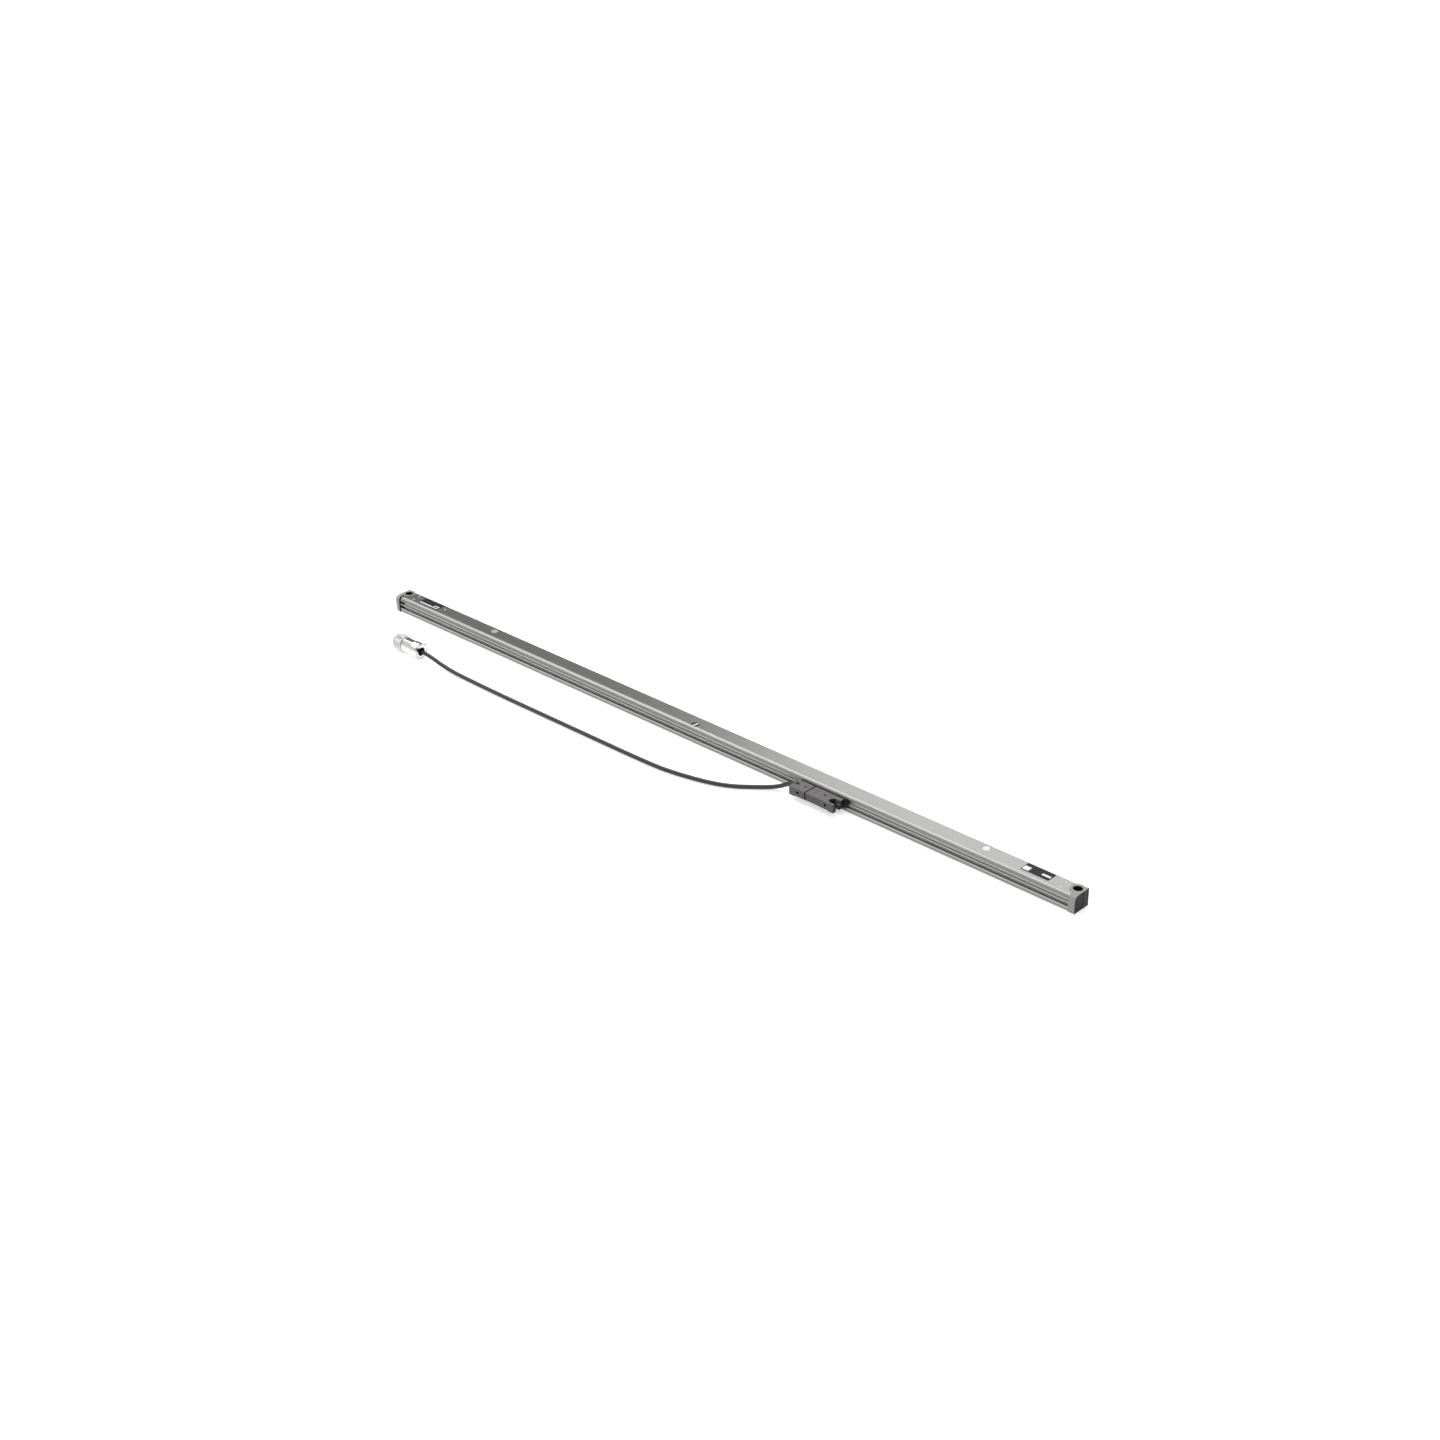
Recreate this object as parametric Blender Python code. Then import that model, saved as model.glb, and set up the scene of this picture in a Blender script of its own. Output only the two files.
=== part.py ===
"""Enclosed magnetic linear scale with its reading head, signal cable and round connector.

Millimetre values are written with MM. The scale's own frame has X along its length with
zero at mid length, Y = 0 at the end caps' front face and running to the back, and Z = 0
at the caps' underside. The empty scale_frame shifts it so that the world origin lies
under the middle of the housing and head together.
"""

import math

import bmesh
import bpy
import numpy as np
from mathutils import Matrix, Vector

MM = 0.001

# Clearances
GAP = 0.3 * MM              # between pieces that seat on each other
RUN_GAP = 0.4 * MM          # between the sliding pieces and the housing
SEGMENTS = 32               # sides of a round piece
SMALL_SEGMENTS = 16         # sides of a small round piece
FINE_SEGMENTS = 48          # sides of the connector
ROLLER_SEGMENTS = 24
SOCKET_SEGMENTS = 8
SMOOTH_ANGLE = 35.0         # degrees, edges flatter than this are shaded smooth
BEVEL_ANGLE = 40.0          # degrees, edges sharper than this are rounded
OVERSHOOT = 1.0 * MM        # how far a cutter runs past the face it opens

# Overall sizes of the closed scale
OVERALL_LENGTH = 1031.6 * MM
CAP_DEPTH = 23.6 * MM
CAP_HEIGHT = 20.0 * MM
CAP_PLATE = 6.0 * MM
CAP_CORNER = 0.6 * MM
GASKET_THICKNESS = 1.7 * MM
GASKET_INSET = 0.1 * MM

# Housing extrusion, a section in Y and Z
BODY_FRONT = 0.4 * MM       # the cap stands proud of the body by these four
BODY_BOTTOM = 0.6 * MM
BODY_TOP_DROP = 0.6 * MM
BODY_BACK_DROP = 0.9 * MM
BACK_CORNER = 0.8 * MM
SHOULDER_DEPTH = 6.1 * MM   # the rounded front top edge is a quarter ellipse
SHOULDER_DROP = 4.2 * MM
SHOULDER_STEPS = 8
EYEBROW = 0.3 * MM          # small flat under the shoulder
COVE_DEPTH = 1.6 * MM       # hollow under the shoulder
COVE_SLOPE = 0.5 * MM
RIDGE_TOP = 11.2 * MM
RIDGE_HEIGHT = 1.4 * MM
EDGE_BREAK = 0.3 * MM
SLOT_HEIGHT = 4.2 * MM
FRONT_WALL_INNER = 4.6 * MM
LIP_LINE_TOP = 3.2 * MM     # fine groove along the lower front edge
LIP_LINE_HEIGHT = 0.7 * MM
LIP_LINE_DEPTH = 0.4 * MM
BOTTOM_BREAK = 0.6 * MM
CAVITY_DEPTH = 8.0 * MM
CAVITY_FLOOR = 2.0 * MM     # wall under the cavity
CAVITY_ROOF = 2.5 * MM      # wall over the cavity
WEB = 2.0 * MM
BACK_WALL = 1.6 * MM
CHAMBER_FLOOR = 1.8 * MM
CHAMBER_ROOF = 2.0 * MM
LIP_GROOVE_FRONT = 2.9 * MM
LIP_GROOVE_WIDTH = 1.2 * MM
LIP_GROOVE_HEIGHT = 1.4 * MM
LIP_LEAN = 0.5 * MM
LIP_BASE = 0.2 * MM

# End caps
EYE_INSET = 7.8 * MM        # mounting eye's axis from the cap's outer face
EYE_Y = 15.6 * MM
EYE_RADIUS = 8.0 * MM
BOLT_HEAD_RADIUS = 5.0 * MM
BOLT_HEAD_FLOOR = 9.0 * MM
BOLT_RADIUS = 2.75 * MM
TONGUE_LENGTH = 20.5 * MM   # reach of the cap's tongues into the housing
END_GROOVE_WIDTH = 3.6 * MM
END_GROOVE_DEPTH = 1.5 * MM
END_GROOVE_BOTTOM = 2.2 * MM
END_GROOVE_TOP = 17.5 * MM
END_POCKET_WIDTH = 6.2 * MM
CAP_STEP_HEIGHT = 7.2 * MM
CAP_STEP_DEPTH = 1.1 * MM
CAP_STEP_SIDES = ("left",)
SKIRT_SIDES = ("right",)    # this cap's rim covers the edge of its gasket
SKIRT_WALL = 1.0 * MM
BUFFER_LENGTH = 1.8 * MM
BUFFER_MARGIN = 1.1 * MM

# Small screws and plugs on the top face
CAP_SCREW_INSET = 15.5 * MM # from the body's end
CAP_SCREW_ROWS = {"front": 9.0 * MM, "rear": 18.7 * MM}
CAP_SCREW_HEAD = 1.7 * MM
CAP_SCREW_HEAD_HEIGHT = 1.0 * MM
CAP_SCREW_SHANK = 0.9 * MM
CAP_SCREW_LENGTH = 6.4 * MM
TOP_SCREW_INSET = 75.8 * MM  # from the housing's left end
TOP_SCREW_Y = 15.4 * MM
TOP_SCREW_LENGTH = 1.6 * MM
RECESS_FLAT = 0.5 * MM      # half width and depth of a small screw's drive recess
PLUG_INSETS = {"left": 166.8 * MM, "right": 120.8 * MM}
PLUG_Y = 15.7 * MM
PLUG_RADIUS = 4.35 * MM
PLUG_HEIGHT = 0.9 * MM
PLUG_STEM_RADIUS = 2.6 * MM
PLUG_STEM = 0.6 * MM
MID_SCREW_X = -6.0 * MM
MID_SCREW_Y = 8.3 * MM
MID_SCREW_RADIUS = 4.4 * MM
MID_SCREW_HEIGHT = 1.1 * MM
MID_SCREW_SUNK = 0.2 * MM
MID_SCREW_SHANK = 1.5 * MM
MID_SCREW_SHANK_LENGTH = 0.9 * MM
MID_SLOT_WIDTH = 1.7 * MM
MID_SLOT_DEPTH = 0.6 * MM
MID_SLOT_TURN = -13.0       # degrees from the Y axis

# Labels on the top face
LABEL_LENGTH = 34.0 * MM
LABEL_WIDTH = 13.6 * MM
LABEL_THICKNESS = 0.3 * MM
LABEL_CORNER = 0.5 * MM
LABEL_INSETS = {"left": 51.6 * MM, "right": 55.1 * MM}
LABEL_Y = 14.7 * MM

# Magnetic strip and its carrier bar inside the cavity
CARRIER_THICKNESS = 1.2 * MM
STRIP_THICKNESS = 0.8 * MM
STRIP_RISE = 2.9 * MM       # above the cavity's floor
STRIP_CLEARANCE = 0.6 * MM  # below the face rollers
STRIP_END_GAP = 3.0 * MM    # from the strip's end to the cap's tongue

# Reading head, X measured from its own middle
HEAD_START_X = 158.8 * MM    # cable end of the head
HEAD_LENGTH = 62.0 * MM
HEAD_REACH = 19.6 * MM      # head's front face ahead of the caps' front
HEAD_TOP = 16.2 * MM
HEAD_BOTTOM = 7.0 * MM
HEAD_EDGE = 0.4 * MM
FOOT_BOTTOM = 5.8 * MM
FOOT_LENGTH = 7.8 * MM
SEAM_INSET = 22.1 * MM     # from the head's cable end
SEAM_GASKET = 1.0 * MM
SEAM_SUNK = 0.1 * MM
NECK_THICKNESS = 1.5 * MM
NECK_OVERHANG = 4.2 * MM    # beyond the head's connector-free end
NECK_BOTTOM = 5.0 * MM
NECK_TOP = 17.0 * MM
NECK_CORNER = 3.0 * MM
BLADE_THICKNESS = 1.0 * MM
BLADE_INSET = 7.0 * MM
BLADE_REACH = 6.2 * MM      # behind the caps' front plane
SCREW_SLOT_INSET = 6.0 * MM  # from the head's free end
SCREW_SLOT_Y = -12.2 * MM
SCREW_SLOT_HEAD_RADIUS = 4.7 * MM
SCREW_SLOT_RADIUS = 2.75 * MM
SCREW_SLOT_FLOOR = 11.3 * MM
FRONT_HOLE_INSET = 11.75 * MM
FRONT_HOLE_RADIUS = 1.65 * MM
FRONT_HOLE_DEPTH = 5.0 * MM
FRONT_HOLE_Z = 11.7 * MM
HEAD_SCREW_INSETS = {"left": 14.9 * MM, "right": 20.4 * MM}
HEAD_SCREW_Y = -9.2 * MM
HEAD_SCREW_RADIUS = 1.0 * MM
HEAD_SCREW_LENGTH = 5.4 * MM
HEAD_SCREW_SUNK = 0.3 * MM
FRONT_PANEL_LENGTH = 21.3 * MM
FRONT_PANEL_DEPTH = 0.6 * MM
FRONT_PANEL_TOP = 1.4 * MM
INDEX_LINE_WIDTH = 0.5 * MM
INDEX_LINE_DEPTH = 0.4 * MM
INDEX_LINE = (-14.0 * MM, -7.5 * MM)
INDEX_DASH = (-5.2 * MM, -3.8 * MM)
BOARD_BAY_LENGTH = 24.0 * MM
BOARD_BAY_DEPTH = 5.2 * MM
BOARD_BAY_WALL = 1.6 * MM
BOARD_BAY_INSET = 14.9 * MM  # from the seam
BOARD_THICKNESS = 1.2 * MM

# Signal cable and its entry in the head
CABLE_RADIUS = 2.45 * MM
CABLE_Y = -10.5 * MM
CABLE_Z = 12.9 * MM
ENTRY_SLOT_RADIUS = 2.9 * MM
ENTRY_SLOT_LENGTH = 3.3 * MM
GLAND_RADIUS = 2.4 * MM
GLAND_LENGTH = 5.8 * MM
GLAND_TIP = 1.6 * MM
CABLE_SPACING = 11.0 * MM   # between the tube's own points
CABLE_BEVEL_STEPS = 3
ROUTE_SAMPLES = 24           # points read between two points of the route

# Route of the cable in the world frame, from the head's gland to the connector
CABLE_ROUTE_MM = (
    (165.2, -12.5, 12.9),
    (159.5, -12.5, 12.9),
    (154.0, -12.5, 12.5),
    (148.5, -13.2, 10.3),
    (143.0, -14.8, 7.2),
    (136.8, -17.4, 4.7),
    (129.0, -22.0, 3.0),
    (116.0, -32.6, 2.6),
    (102.0, -43.6, 2.6),
    (86.4, -52.2, 2.6),
    (68.6, -58.6, 2.6),
    (49.2, -63.5, 2.6),
    (29.0, -67.4, 2.6),
    (6.0, -70.0, 2.6),
    (-42.0, -71.2, 2.6),
    (-118.0, -71.6, 2.6),
    (-197.0, -72.0, 2.6),
    (-252.0, -72.0, 2.6),
    (-305.0, -71.1, 2.6),
    (-332.0, -70.6, 3.3),
    (-350.0, -70.5, 5.5),
    (-364.0, -70.5, 8.2),
    (-376.0, -70.5, 10.1),
    (-385.6, -70.5, 10.7),
)

# Round connector on the cable's end, X measured forward from its cable side
CONNECTOR_X = -385.9 * MM
CONNECTOR_Y = -68.5 * MM
CONNECTOR_Z = 10.7 * MM
CLAMP_STAND_OUT = 1.8 * MM
CLAMP_LENGTH = 5.0 * MM
CLAMP_RADIUS = 4.4 * MM
CLAMP_ROOT = 3.0 * MM
CLAMP_FINGERS = 6
CLAMP_FINGER_WIDTH = 0.24    # as a share of half the step between fingers
NUT_LENGTH = 9.6 * MM
NUT_RADIUS = 10.55 * MM
NUT_CHAMFER = 1.2 * MM
NUT_FLATS = 6
NUT_FLAT_RADIUS = 10.1 * MM
BARREL_LENGTH = 16.5 * MM
BARREL_RADIUS = 9.4 * MM
BARREL_FLAT_RADIUS = 8.9 * MM
BARREL_FLATS = 8
SPIGOT_RADIUS = 7.6 * MM
MOUTH_RADIUS = 6.6 * MM
MOUTH_DEPTH = 7.5 * MM
INSERT_LENGTH = 8.0 * MM
SOCKET_COUNT = 8
SOCKET_CIRCLE = 4.2 * MM
SOCKET_RADIUS = 0.6 * MM
SOCKET_DEPTH = 4.0 * MM
KEY_WIDTH = 1.6 * MM
RING_LENGTH = 14.2 * MM
RING_RADIUS = 9.9 * MM
RING_BORE = 8.1 * MM
RING_BEVEL = 0.8 * MM
KNURL_COUNT = 30
KNURL_DEPTH = 0.35 * MM
KNURL_START = 2.4 * MM

# Carriage and rollers inside the housing, X from the head's middle
CARRIAGE_DEPTH = 4.0 * MM
CARRIAGE_BOTTOM_GAP = 0.8 * MM
CARRIAGE_TOP_GAP = 0.7 * MM
CARRIAGE_EDGE = 0.4 * MM
SPRING_BAY_LENGTH = 28.0 * MM
SPRING_BAY_DEPTH = 1.8 * MM
SPRING_LENGTH = 25.0 * MM
SPRING_WIDTH = 2.8 * MM
SPRING_THICKNESS = 0.3 * MM
SPRING_STEPS = 10
SENSOR_BAY_LENGTH = 30.4 * MM
SENSOR_BAY_HEIGHT = 6.6 * MM
SENSOR_BOARD_THICKNESS = 1.0 * MM
SENSOR_BOARD_SUNK = 0.6 * MM
SENSOR_CHIP = (8.0 * MM, 3.0 * MM)
READING_GAP = 0.4 * MM
ROLLER_RADIUS = 1.9 * MM
ROLLER_WIDTH = 2.2 * MM
AXLE_RADIUS = 0.5 * MM
FACE_ROLLER_INSET = 8.0 * MM
FACE_ROLLER_DROP = 2.2 * MM  # below the carriage's top
EDGE_ROLLER_INSET = 3.5 * MM

# Values that follow from the ones above
HALF_LENGTH = OVERALL_LENGTH / 2
PLATE_INNER = HALF_LENGTH - CAP_PLATE
BODY_END = PLATE_INNER - GASKET_THICKNESS - 2 * GAP
BODY_TOP = CAP_HEIGHT - BODY_TOP_DROP
BODY_BACK = CAP_DEPTH - BODY_BACK_DROP
EYE_X = HALF_LENGTH - EYE_INSET
TONGUE_END = BODY_END - TONGUE_LENGTH
CAVITY_BACK = FRONT_WALL_INNER + CAVITY_DEPTH
CAVITY_LOW = BODY_BOTTOM + CAVITY_FLOOR
CAVITY_HIGH = BODY_TOP - CAVITY_ROOF
CHAMBER_FRONT = CAVITY_BACK + WEB
CHAMBER_BACK = BODY_BACK - BACK_WALL
CHAMBER_LOW = BODY_BOTTOM + CHAMBER_FLOOR
CHAMBER_HIGH = BODY_TOP - CHAMBER_ROOF
SHOULDER_LOW = BODY_TOP - SHOULDER_DROP
BROW_LOW = SHOULDER_LOW - EYEBROW - COVE_SLOPE
COVE_Y = BODY_FRONT + COVE_DEPTH
LIP_LINE_Y = BODY_FRONT + LIP_LINE_DEPTH
LIP_LINE_LOW = LIP_LINE_TOP - LIP_LINE_HEIGHT
LIP_GROOVE_BACK = LIP_GROOVE_FRONT + LIP_GROOVE_WIDTH
SLOT_TOP = RIDGE_TOP - RIDGE_HEIGHT
SLOT_BOTTOM = SLOT_TOP - SLOT_HEIGHT
SLOT_MIDDLE = (SLOT_TOP + SLOT_BOTTOM) / 2
CARRIER_BACK = CAVITY_BACK - GAP
CARRIER_FRONT = CARRIER_BACK - CARRIER_THICKNESS
STRIP_BACK = CARRIER_FRONT - GAP
STRIP_FRONT = STRIP_BACK - STRIP_THICKNESS
STRIP_END = TONGUE_END - STRIP_END_GAP
HEAD_FRONT = -HEAD_REACH
HEAD_BACK = -NECK_THICKNESS - GAP
HEAD_HALF = HEAD_LENGTH / 2
HEAD_CENTRE_X = HEAD_START_X + HEAD_HALF
SEAM_X = -HEAD_HALF + SEAM_INSET
SCREW_SLOT_X = HEAD_HALF - SCREW_SLOT_INSET
BOARD_BAY_X = SEAM_X + BOARD_BAY_INSET
BLADE_LENGTH = HEAD_LENGTH - 2 * BLADE_INSET
FACE_ROLLER_X = HEAD_HALF - FACE_ROLLER_INSET
EDGE_ROLLER_X = HEAD_HALF - EDGE_ROLLER_INSET
CARRIAGE_FRONT = FRONT_WALL_INNER + RUN_GAP
CARRIAGE_BACK = CARRIAGE_FRONT + CARRIAGE_DEPTH
CARRIAGE_LOW = CAVITY_LOW + CARRIAGE_BOTTOM_GAP
CARRIAGE_HIGH = CAVITY_HIGH - CARRIAGE_TOP_GAP
FACE_ROLLER_Z = CARRIAGE_HIGH - FACE_ROLLER_DROP
STRIP_BOTTOM = CAVITY_LOW + STRIP_RISE
STRIP_TOP = FACE_ROLLER_Z - ROLLER_WIDTH / 2 - STRIP_CLEARANCE
FRAME_SHIFT_Y = -(CAP_DEPTH - HEAD_REACH) / 2
SIDES = {"left": -1.0, "right": 1.0}

# Colours as linear RGB, roughness and metallic value
FINISHES = {
    "anodised_aluminium": ((0.52, 0.52, 0.50), 0.38, 0.9),
    "cast_cap": ((0.50, 0.50, 0.48), 0.48, 0.8),
    "black_rubber": ((0.012, 0.012, 0.013), 0.75, 0.0),
    "label_film": ((0.02, 0.024, 0.028), 0.40, 0.0),
    "bright_screw": ((0.72, 0.72, 0.70), 0.28, 1.0),
    "dark_screw": ((0.035, 0.035, 0.035), 0.40, 0.8),
    "grey_plug": ((0.55, 0.55, 0.53), 0.50, 0.0),
    "white_plug": ((0.86, 0.87, 0.86), 0.45, 0.0),
    "steel_bar": ((0.42, 0.42, 0.42), 0.35, 1.0),
    "magnet_strip": ((0.045, 0.040, 0.038), 0.55, 0.1),
    "grey_cast_head": ((0.20, 0.20, 0.195), 0.52, 0.6),
    "black_neck": ((0.018, 0.018, 0.018), 0.50, 0.3),
    "carriage_plastic": ((0.06, 0.065, 0.07), 0.45, 0.0),
    "circuit_board": ((0.015, 0.14, 0.06), 0.45, 0.0),
    "chip_black": ((0.015, 0.015, 0.016), 0.40, 0.0),
    "spring_steel": ((0.55, 0.54, 0.50), 0.25, 1.0),
    "cable_jacket": ((0.022, 0.022, 0.024), 0.42, 0.0),
    "plated_metal": ((0.78, 0.78, 0.76), 0.18, 1.0),
    "insert_plastic": ((0.03, 0.03, 0.032), 0.50, 0.0),
}


def clear_scene():
    """Removes whatever the scene holds."""
    for item in list(bpy.data.objects):
        bpy.data.objects.remove(item, do_unlink=True)


def finish(name):
    """Returns the named material, made on first use."""
    if name in bpy.data.materials:
        return bpy.data.materials[name]
    colour, roughness, metallic = FINISHES[name]
    material = bpy.data.materials.new(name)
    material.use_nodes = True
    shader = material.node_tree.nodes["Principled BSDF"]
    shader.inputs["Base Color"].default_value = (*colour, 1.0)
    shader.inputs["Roughness"].default_value = roughness
    shader.inputs["Metallic"].default_value = metallic
    material.diffuse_color = (*colour, 1.0)
    return material


def empty(name, parent, location):
    """Adds an empty that carries a group of pieces."""
    holder = bpy.data.objects.new(name, None)
    bpy.context.collection.objects.link(holder)
    holder.parent = parent
    holder.location = location
    return holder


def piece(name, mesh_data, slot, parent, location=(0, 0, 0), smooth=False):
    """Adds one named sub-part."""
    mesh_data.name = name
    obj = bpy.data.objects.new(name, mesh_data)
    bpy.context.collection.objects.link(obj)
    obj.parent = parent
    obj.location = location
    mesh_data.materials.append(finish(slot))
    if smooth:
        mesh_data.shade_smooth()
        mesh_data.set_sharp_from_angle(angle=math.radians(SMOOTH_ANGLE))
    return obj


def tool(name, mesh_data, parent, location=(0, 0, 0)):
    """Adds a hidden shape that a Boolean modifier works with."""
    obj = bpy.data.objects.new(name, mesh_data)
    bpy.context.collection.objects.link(obj)
    obj.parent = parent
    obj.location = location
    obj.hide_render = True
    obj.display_type = "WIRE"
    return obj


def combine(obj, other, operation):
    """Adds an exact Boolean modifier."""
    modifier = obj.modifiers.new(other.name, "BOOLEAN")
    modifier.operation = operation
    modifier.solver = "EXACT"
    modifier.object = other


def cut(obj, name, mesh_data, location=(0, 0, 0)):
    """Cuts a shape out of a piece, both placed by the same parent."""
    combine(obj, tool(name, mesh_data, obj.parent, location), "DIFFERENCE")


def fuse(obj, name, mesh_data, location=(0, 0, 0)):
    """Adds a shape to a piece, both placed by the same parent."""
    combine(obj, tool(name, mesh_data, obj.parent, location), "UNION")


def bevel(obj, width, segments=2):
    """Rounds the sharp edges of a piece."""
    modifier = obj.modifiers.new("edges", "BEVEL")
    modifier.width = width
    modifier.segments = segments
    modifier.limit_method = "ANGLE"
    modifier.angle_limit = math.radians(BEVEL_ANGLE)


def to_mesh(bm):
    """Turns a bmesh into a mesh with its faces pointing out."""
    bmesh.ops.recalc_face_normals(bm, faces=bm.faces)
    mesh_data = bpy.data.meshes.new("shape")
    bm.to_mesh(mesh_data)
    bm.free()
    return mesh_data


def add_prism(bm, outline, low, high, axis):
    """Extrudes a closed outline along X, Y or Z from low to high."""
    order = {
        "X": lambda a, b, c: (c, a, b),
        "Y": lambda a, b, c: (a, c, b),
        "Z": lambda a, b, c: (a, b, c),
    }[axis]
    first = [bm.verts.new(order(a, b, low)) for a, b in outline]
    last = [bm.verts.new(order(a, b, high)) for a, b in outline]
    bm.faces.new(first)
    bm.faces.new(last)
    count = len(outline)
    for i in range(count):
        j = (i + 1) % count
        bm.faces.new((first[i], first[j], last[j], last[i]))


def prism(outline, low, high, axis):
    """Returns one prism as a mesh."""
    bm = bmesh.new()
    add_prism(bm, outline, low, high, axis)
    return to_mesh(bm)


def add_box(bm, low, high):
    """Adds a box between two corners."""
    outline = ((low[0], low[1]), (high[0], low[1]), (high[0], high[1]), (low[0], high[1]))
    add_prism(bm, outline, low[2], high[2], "Z")


def box(low, high):
    """Returns a box between two corners."""
    bm = bmesh.new()
    add_box(bm, low, high)
    return to_mesh(bm)


def arc(centre, radii, start, stop, steps):
    """Points on an ellipse arc, angles in degrees."""
    angles = np.radians(np.linspace(start, stop, steps + 1))
    return [(centre[0] + radii[0] * math.cos(a), centre[1] + radii[1] * math.sin(a)) for a in angles]


def circle(centre, radius, count=SEGMENTS):
    """Points of a full circle."""
    return arc(centre, (radius, radius), 0, 360 * (count - 1) / count, count - 1)


def rounded_outline(low, high, radius, steps=3):
    """Corner points of a rectangle with round corners."""
    points = []
    corners = (
        (high[0] - radius, high[1] - radius, 0),
        (low[0] + radius, high[1] - radius, 90),
        (low[0] + radius, low[1] + radius, 180),
        (high[0] - radius, low[1] + radius, 270),
    )
    for x, y, start in corners:
        points += arc((x, y), (radius, radius), start, start + 90, steps)
    return points


def open_slot(centre, radius, reach, steps=12):
    """Outline of a slot with one round end, open towards reach along X."""
    side = 1 if reach > centre[0] else -1
    start = 90 if side > 0 else -90
    points = arc(centre, (radius, radius), start, start + 180, steps)
    points.append((reach, points[-1][1]))
    points.append((reach, points[0][1]))
    return points


def lathe(profile, axis, segments=SEGMENTS, wave=None):
    """Turns a closed profile of (place, radius) points about an axis through the origin.

    A point with radius zero lies on the axis. wave(angle, place, radius) may change the
    radius round the piece, for flats and knurls.
    """
    bm = bmesh.new()
    rings = []
    for place, radius in profile:
        count = 1 if radius == 0 else segments
        ring = []
        for i in range(count):
            angle = 2 * math.pi * i / segments
            r = wave(angle, place, radius) if wave and radius else radius
            a, b = r * math.cos(angle), r * math.sin(angle)
            point = {"X": (place, a, b), "Y": (a, place, b), "Z": (a, b, place)}[axis]
            ring.append(bm.verts.new(point))
        rings.append(ring)
    pairs = list(zip(rings, rings[1:] + rings[:1]))
    for one, two in pairs:
        if len(one) == 1 and len(two) == 1:
            continue
        for i in range(segments):
            j = (i + 1) % segments
            if len(one) == 1:
                bm.faces.new((one[0], two[i], two[j]))
            elif len(two) == 1:
                bm.faces.new((one[i], one[j], two[0]))
            else:
                bm.faces.new((one[i], one[j], two[j], two[i]))
    return to_mesh(bm)


def pin(radius, low, high, axis, segments=SMALL_SEGMENTS):
    """A plain round pin along an axis through the origin."""
    return lathe(((low, 0), (low, radius), (high, radius), (high, 0)), axis, segments)


def roof_outline():
    """Section of the roof: back corner, rounded shoulder and the brow over the cove."""
    corner = (BACK_CORNER, BACK_CORNER)
    points = arc((BODY_BACK - BACK_CORNER, BODY_TOP - BACK_CORNER), corner, 0, 90, 3)
    shoulder = (BODY_FRONT + SHOULDER_DEPTH, SHOULDER_LOW)
    points += arc(shoulder, (SHOULDER_DEPTH, SHOULDER_DROP), 90, 180, SHOULDER_STEPS)
    points += [
        (BODY_FRONT, SHOULDER_LOW - EYEBROW),
        (COVE_Y, BROW_LOW),
        (FRONT_WALL_INNER, BROW_LOW),
        (FRONT_WALL_INNER, CAVITY_HIGH),
        (CHAMBER_FRONT, CAVITY_HIGH),
        (CHAMBER_FRONT, CHAMBER_HIGH),
        (CHAMBER_BACK, CHAMBER_HIGH),
        (CHAMBER_BACK, CAVITY_HIGH),
        (BODY_BACK, CAVITY_HIGH),
    ]
    return points


def rail_outline():
    """Section of the front wall above the slot, with its ridge and lip groove."""
    return [
        (COVE_Y, BROW_LOW - GAP),
        (COVE_Y, RIDGE_TOP + EDGE_BREAK),
        (COVE_Y - EDGE_BREAK, RIDGE_TOP),
        (BODY_FRONT + EDGE_BREAK, RIDGE_TOP),
        (BODY_FRONT, RIDGE_TOP - EDGE_BREAK),
        (BODY_FRONT, SLOT_TOP + EDGE_BREAK),
        (BODY_FRONT + EDGE_BREAK, SLOT_TOP),
        (LIP_GROOVE_FRONT, SLOT_TOP),
        (LIP_GROOVE_FRONT, SLOT_TOP + LIP_GROOVE_HEIGHT),
        (LIP_GROOVE_BACK, SLOT_TOP + LIP_GROOVE_HEIGHT),
        (LIP_GROOVE_BACK, SLOT_TOP),
        (FRONT_WALL_INNER, SLOT_TOP),
        (FRONT_WALL_INNER, BROW_LOW - GAP),
    ]


def sill_outline():
    """Section of the front wall below the slot, with its lip groove."""
    return [
        (LIP_LINE_Y, CAVITY_LOW + GAP),
        (LIP_LINE_Y, LIP_LINE_TOP),
        (BODY_FRONT, LIP_LINE_TOP),
        (BODY_FRONT, SLOT_BOTTOM - EDGE_BREAK),
        (BODY_FRONT + EDGE_BREAK, SLOT_BOTTOM),
        (LIP_GROOVE_FRONT, SLOT_BOTTOM),
        (LIP_GROOVE_FRONT, SLOT_BOTTOM - LIP_GROOVE_HEIGHT),
        (LIP_GROOVE_BACK, SLOT_BOTTOM - LIP_GROOVE_HEIGHT),
        (LIP_GROOVE_BACK, SLOT_BOTTOM),
        (FRONT_WALL_INNER, SLOT_BOTTOM),
        (FRONT_WALL_INNER, CAVITY_LOW + GAP),
    ]


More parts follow.
